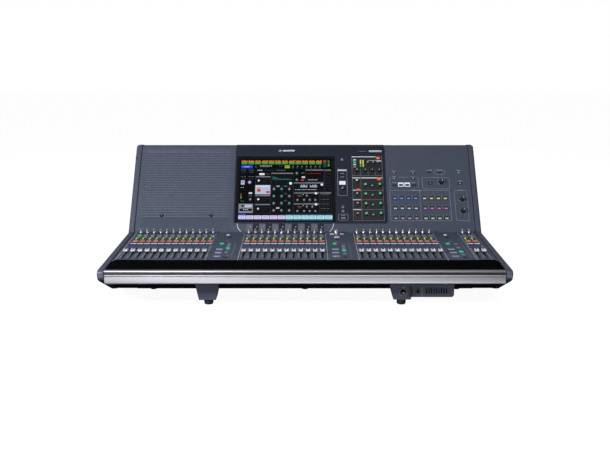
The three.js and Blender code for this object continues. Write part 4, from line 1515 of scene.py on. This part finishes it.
def dynamics_column(view):
    """Two dynamics stages, the send meters and the routing lists, at the right."""
    view.dial(191.5, 57, 5.4, "teal")
    view.dial(191.5, 81.5, 5.4, "teal")
    view.switch(208, 69)
    view.switch(206, 53, "teal_dark")
    view.switch(205, 80, "red")
    view.window(220, 42.5, 62, 46)
    view.box(223, 50, 56, 10, "black", 3)
    view.box(223, 62, 56, 10, "black", 3)
    view.dashes(227, 57, 46, 8, "red", 1.2, 4)
    view.dashes(229, 81, 32, 6, "white", 1.6, 4)
    view.window(182, 91.5, 100, 34)
    for k in range(22):
        loud = 3 + (k * 5) % 7
        if k % 12 < 9:
            view.box(203 + 2.7 * k, 108 - loud, 1.9, loud + 2, "sky", 4)
    view.dot(275, 100, 4.4, "white", 4)
    view.dashes(187, 118, 72, 14, "white", 1.3, 4)
    for y in (129, 170):
        view.window(182, y, 84, 38)
        view.dashes(193, y + 10, 17, 6, "green", 1.4, 4)
        view.box(196, y + 15, 10, 1.4, "red", 4)
        view.dot(213, y + 8, 1.2, "white", 4)
        view.dial(225, y + 12, 4.6)
        view.dot(255, y + 3.4, 4.2, "white", 5)
        for x in (194, 216, 234.5, 253):
            view.dial(x, y + 28, 4.8)
    view.dial(243, 182, 4.6)
    view.window(268, 129, 38, 79)
    view.window(284, 42.5, 22, 83)
    for row in range(8):
        view.dashes(286, 50 + 9 * row, 17, 4, "dim", 1.1, 4)
        view.dashes(271, 137 + 8.6 * row, 30, 6, "dim" if row % 2 else "grey", 1.1, 4)
    for x in (280, 293):
        view.box(x, 133, 0.4, 72, "dim", 4)


def tab_row(view):
    """Twelve tabs along the bottom, six of each colour."""
    tabs = 12
    width = PICTURE_WIDTH / tabs
    view.box(0, 212, PICTURE_WIDTH / 2, 20, "plum", 1)
    view.box(PICTURE_WIDTH / 2, 210, PICTURE_WIDTH / 2, 22, "sea", 1)
    for k in range(tabs):
        view.box(width * k + 1, 214, width - 1.6, 13.5, "lilac" if k < tabs / 2 else "cyan", 2, 1.6)
        view.dashes(width * k + 4, 217.5, width - 8, 4, "grey", 1.8, 3)
        view.dashes(width * k + 6, 222.5, width - 12, 3, "dim", 1.4, 3)


# ---------- headphone box ----------

LEVEL_KNOB_AT = (278, 37)  # on the headphone box's front


def headphone_fittings():
    """The hook, the jack's bush, the pilot lamp and the printed marks of the headphone box."""
    made = Piece("headphone_fittings")
    hook = line([(298.5, 51), (300.5, 45), (301.5, 38), (300, 31), (297.5, 27)], 3.6)
    made.add(prism(hook, 0, 7, 1.0), BLACK, PHONES_FRONT)
    ring(made, PHONES_FRONT, 318.5, 40, 6.4, 3.1, BLACK, 0, 1.6)
    disc(made, PHONES_FRONT, 318.5, 50.5, 2.4, BLACK, 0, 0.6, 0.2, 20)
    marks(made, PHONES_FRONT, PRINT_DIM_AND_HIGHLIGHT, [(331, 38, 1.0, 27), (278, 52, 10, 1.6)])
    scale(made, PHONES_FRONT, *LEVEL_KNOB_AT, 11)
    made.make("socket_black")


# ---------- the back, which is not seen from the front and is a guess ----------

PORT_ROW = 114.0  # how high the connectors are
OUTPUT_XS = (28, 60, 92, 124)
NETWORK_XS = (-62, -24)
INLET_XS = (-226, -168)
SWITCH_X = -197
EARTH_SCREW_X = -250
SQUARE_PLATE = (26, 31)  # width and height
INLET_PLATE = (48, 27)


def port(x):
    """The place of a connector in the rear wall."""
    return spot(REAR, -x, PORT_ROW)


def rear_plates():
    """The thin plates around the sockets of the connector panel."""
    made, holes = Piece("connector_plates"), Piece("connector_holes")
    for x in OUTPUT_XS:
        plate(made, port(x), 0, 0, *SQUARE_PLATE, KEY_DARK, 0.02, 1.1, 3.5, 0.3)
        disc(holes, port(x), 0, 0, 9.5, BLACK, -2, 3, sides=48)
    for x in NETWORK_XS:
        plate(made, port(x), 0, 0, *SQUARE_PLATE, KEY_DARK, 0.02, 1.1, 3.5, 0.3)
        plate(holes, port(x), 0, 0, 14, 12, BLACK, -2, 3, 0.5, steps=2)
    for x in INLET_XS:
        plate(made, port(x), 0, 0, *INLET_PLATE, BLACK, 0.02, 1.1, 4, 0.3)
        plate(holes, port(x), 0, 0, 26, 18, BLACK, -2, 3, 1.0, steps=2)
    cut(made.make("socket_black"), holes)


def rear_contacts():
    """Pins, blades and contacts inside the sockets, with the screws of their plates and the mains switch."""
    made = Piece("connector_contacts")
    for x in OUTPUT_XS:
        output_contacts(made, port(x))
        caption(made, port(x), 0, 20.5, 11)
    for x in NETWORK_XS:
        network_contacts(made, port(x))
        caption(made, port(x), 0, 20.5, 14)
    for x in INLET_XS:
        inlet_contacts(made, port(x))
        caption(made, port(x), 0, 20.5, 18)
    mains_switch(made, port(SWITCH_X))
    screw_head(made, port(EARTH_SCREW_X), 4.4)
    made.make("connector_metal")


def output_contacts(piece, here):
    """A three-pin audio socket."""
    disc(piece, here, 0, 0, 9.2, BLACK, -11.9, -10.8, 0.2, 40)
    for turn in (90, 210, 330):
        angle = math.radians(turn)
        pin = spot(here, 4.4 * math.cos(angle), 4.4 * math.sin(angle))
        piece.add(turned([(1.2, -10.9), (1.2, -2.4), (0.7, -1.7)], 16), BRASS, pin)
    plate_screws(piece, here, 10.2, 12.7)


def network_contacts(piece, here):
    """A network socket with its two lamps."""
    plate(piece, here, 0, 0, 13.6, 11.6, BLACK, -12.9, -12.2, 0.4, steps=2)
    for k in range(8):
        plate(piece, here, 1.25 * (k - 3.5), 3.6, 0.6, 3.4, BRASS, -12.3, -2.5, 0.2, steps=2)
    for way, lamp_colour in ((-1, "lime"), (1, "amber")):
        mark(piece, spot(here, z=1.1), 4.5 * way, 9.5, 3, 2, LAMPS[lamp_colour], 0.2, 0.6)
    plate_screws(piece, here, 10.2, 12.7)


def inlet_contacts(piece, here):
    """A mains inlet with its three blades."""
    plate(piece, here, 0, 0, 17, 9.5, BLACK, -14.9, -3.0, 2.5, 0.5)
    for x, y in ((-4.6, -0.8), (4.6, -0.8), (0, 1.6)):
        plate(piece, here, x, y, 2, 4.4, STEEL, -3.2, -1.6, 0.3, 0.2, 2)
    plate_screws(piece, here, 20, 0)


def mains_switch(piece, here):
    """A rocker switch, pressed in at its lower end."""
    piece.add(border(rounded(15, 23, 2), 1.4, 0.02, 1.2), BLACK, here)
    plate(piece, here, 0, 5, 12, 10, KEY_DARK, 0.02, 1.3, 0.8, 0.5)
    plate(piece, here, 0, -5, 12, 10, KEY_DARK, 0.02, 0.6, 0.8, 0.3)
    ring(piece, here, 0, -5, 1.6, 0.5, PRINT, 0.5, 0.8, 16)
    mark(piece, spot(here, z=1.3), 0, 5, 0.6, 3, PRINT)


def plate_screws(piece, place, across, up):
    """The two screws of a connector's plate, in opposite corners."""
    for way in (-1, 1):
        screw_head(piece, spot(place, way * across, way * up, 0.2), 1.9)


def rear_louvres():
    """Two groups of cooling louvres, the screws along the seams and a blank label."""
    made = Piece("rear_louvres")
    for middle in (-405, 405):
        for k in range(15):
            z = 118 + 7.2 * k
            for part in (-1, 0, 1):
                x = middle + 58 * part
                # Under each fin, a flat black strip: painted shade where the louvre's opening would be.
                plate(made, REAR, x, z, 50, 2.6, BLACK, 0.02, 0.12, 1.2)
                plate(made, REAR, x, z + 2.4, 50, 2.4, CHASSIS, 0.02, 1.35, 1.1, 0.9)
    for z in (44, 248):
        for k in range(-4, 5):
            screw_head(made, spot(REAR, 135 * k, z), 3.0)
    plate(made, REAR, 0, 205, 92, 34, KEY_DARK, 0.02, 0.3, 2, 0.1)
    label = spot(REAR, z=0.3)
    for row, (x, width) in enumerate(((0, 70), (-6, 58), (0, 70), (-6, 58))):
        caption(made, label, x, 214 - 6 * row, width, PRINT_DIM_AND_HIGHLIGHT)
    made.make("chassis_paint")


# ---------- stage, light and camera ----------

FRONT_LIGHT, BACK_LIGHT, SIDE_LIGHT = 0.42, 0.07, 0.15  # the room's light from above, by its side
LOW_LIGHT, STEEP_LIGHT = 0.75, 3.4  # its light from low in front, near the horizon and near the floor
FLOOR_REACH = 12.0  # metres
FLOOR_GLOW = 0.95
LAMP_TARGET = (0, 0.05, 0.2)
CAMERA_AT = (0, -2.624, 0.7028)
CAMERA_TILT = math.radians(78.5)  # from straight down
LENS, SENSOR = 50.16, 36


def stage():
    """A pale floor that glows a little, so that its shadows stay soft. It sends no light back up."""
    mesh = bpy.data.meshes.new("floor")
    corners = [(x * FLOOR_REACH, y * FLOOR_REACH, 0) for x, y in ((-1, -1), (1, -1), (1, 1), (-1, 1))]
    mesh.from_pydata(corners, [], [(0, 1, 2, 3)])
    floor = bpy.data.objects.new("floor", mesh)
    paper = Finish("floor_paper", (0.12, 0.12, 0.12), 0.9).mottle(3, 0.01)
    paper.set("Specular IOR Level", 0.0)
    paper.set("Emission Color", (1, 1, 1, 1)).set("Emission Strength", FLOOR_GLOW)
    mesh.materials.append(paper.material)
    floor.visible_diffuse = False
    floor.visible_glossy = False
    bpy.context.scene.collection.objects.link(floor)


def room(world):
    """White behind the object. Its light comes from above and from low in front, not from the sides."""
    world.use_nodes = True
    tree = world.node_tree
    background = tree.nodes["Background"]
    background.inputs["Color"].default_value = (1, 1, 1, 1)

    def ramp(source, from_low, from_high, to_low, to_high):
        made = tree.nodes.new("ShaderNodeMapRange")
        made.interpolation_type = "SMOOTHSTEP"
        tree.links.new(source, made.inputs["Value"])
        span = {"From Min": from_low, "From Max": from_high, "To Min": to_low, "To Max": to_high}
        for name, value in span.items():
            made.inputs[name].default_value = value
        return made.outputs[0]

    def maths(operation, first, second):
        made = tree.nodes.new("ShaderNodeMath")
        made.operation = operation
        for socket, source in zip(made.inputs, (first, second)):
            if isinstance(source, float):
                socket.default_value = source
            else:
                tree.links.new(source, socket)
        return made.outputs[0]

    way = tree.nodes.new("ShaderNodeSeparateXYZ")
    tree.links.new(tree.nodes.new("ShaderNodeTexCoord").outputs["Generated"], way.inputs[0])
    x, y, z = way.outputs
    from_above = ramp(maths("SUBTRACT", y, z), 0.0, 0.7, FRONT_LIGHT, BACK_LIGHT)
    sides = ramp(maths("ABSOLUTE", x, 0.0), 0.3, 0.85, 1.0, SIDE_LIGHT)
    above_horizon = ramp(z, -0.3, -0.05, 0.02, 1.0)
    high = maths("MULTIPLY", maths("MULTIPLY", from_above, sides), above_horizon)
    in_front = maths("MULTIPLY", ramp(y, -0.6, -0.3, 1.0, 0.0), ramp(z, -0.15, -0.55, LOW_LIGHT, STEEP_LIGHT))
    band = maths("MULTIPLY", ramp(z, -0.05, -0.15, 0.0, 1.0), ramp(z, -0.82, -0.5, 0.0, 1.0))
    soft = maths("ADD", high, maths("MULTIPLY", band, in_front))
    seen = tree.nodes.new("ShaderNodeLightPath").outputs["Is Camera Ray"]
    tree.links.new(maths("MAXIMUM", soft, seen), background.inputs["Strength"])


def lamp(name, location, target, width, height, power):
    """A rectangular lamp aimed at a target."""
    data = bpy.data.lights.new(name, "AREA")
    data.shape = "RECTANGLE"
    data.size = width
    data.size_y = height
    data.energy = power
    made = bpy.data.objects.new(name, data)
    made.location = location
    made.rotation_euler = (Vector(target) - Vector(location)).to_track_quat("-Z", "Y").to_euler()
    bpy.context.scene.collection.objects.link(made)
    return made


def studio():
    """The room, three lamps and the camera, in metres and watts."""
    scene = bpy.context.scene
    scene.view_settings.view_transform = "Standard"
    scene.world = bpy.data.worlds.new("white_studio")
    room(scene.world)
    lamp("key", (-1.75, -1.55, 1.15), LAMP_TARGET, 0.35, 0.35, 60)
    lamp("strip", (0.2, -1.75, 1.25), LAMP_TARGET, 2.6, 0.3, 15)
    lamp("back", (0.9, 2.4, 2.0), (0, 0.3, 0.2), 1.2, 1.2, 40).visible_glossy = False

    camera = bpy.data.objects.new("camera", bpy.data.cameras.new("camera"))
    camera.data.lens = LENS
    camera.data.sensor_width = SENSOR
    camera.location = CAMERA_AT
    camera.rotation_euler = (CAMERA_TILT, 0, 0)
    scene.collection.objects.link(camera)
    scene.camera = camera


# ---------- everything in its order ----------

studio()
stage()
cheeks()
side_screws()
bridge_cover()
gaskets()
centre_bezel()
module_wrap()
front_trim()
armrest()
feet()
soften("fader_deck", 0.25, DECK_PAINT)
soften("touch_screen", 0.4, GLASS_BLACK)
soften("chassis_tub", 0, CHASSIS)
soften("io_panel", 0, CHASSIS)
soften("left_leg", 1.0, LEG)
soften("headphone_box", 0.8, LEG)
soften("rear_foot", 1.0, RUBBER)
soften("main_board", 0, BOARD)
soften("power_supply", 0.5, SUPPLY)
fader_caps()
encoders()
touch_turn_place = spot(DECK, *TOUCH_TURN_AT)
level_place = spot(PHONES_FRONT, *LEVEL_KNOB_AT)
panel_knob("touch_turn_knob_cap", "touch_turn_knob", touch_turn_place, 7.5, 16, KNOB_SILVER)
panel_knob("phones_level_knob", "phones_knob", level_place, 8, 13, KNOB_DARK)
for bay_name, bay_strips in BAYS.items():
    strip_controls(bay_name, bay_strips)
    strip_print(bay_name, bay_strips)
screen_stripes()
bank_panels()
deck_edge_highlight()
pegs()
channel_section()
module_marks()
right_panel()
screen_picture()
headphone_fittings()
rear_plates()
rear_contacts()
rear_louvres()
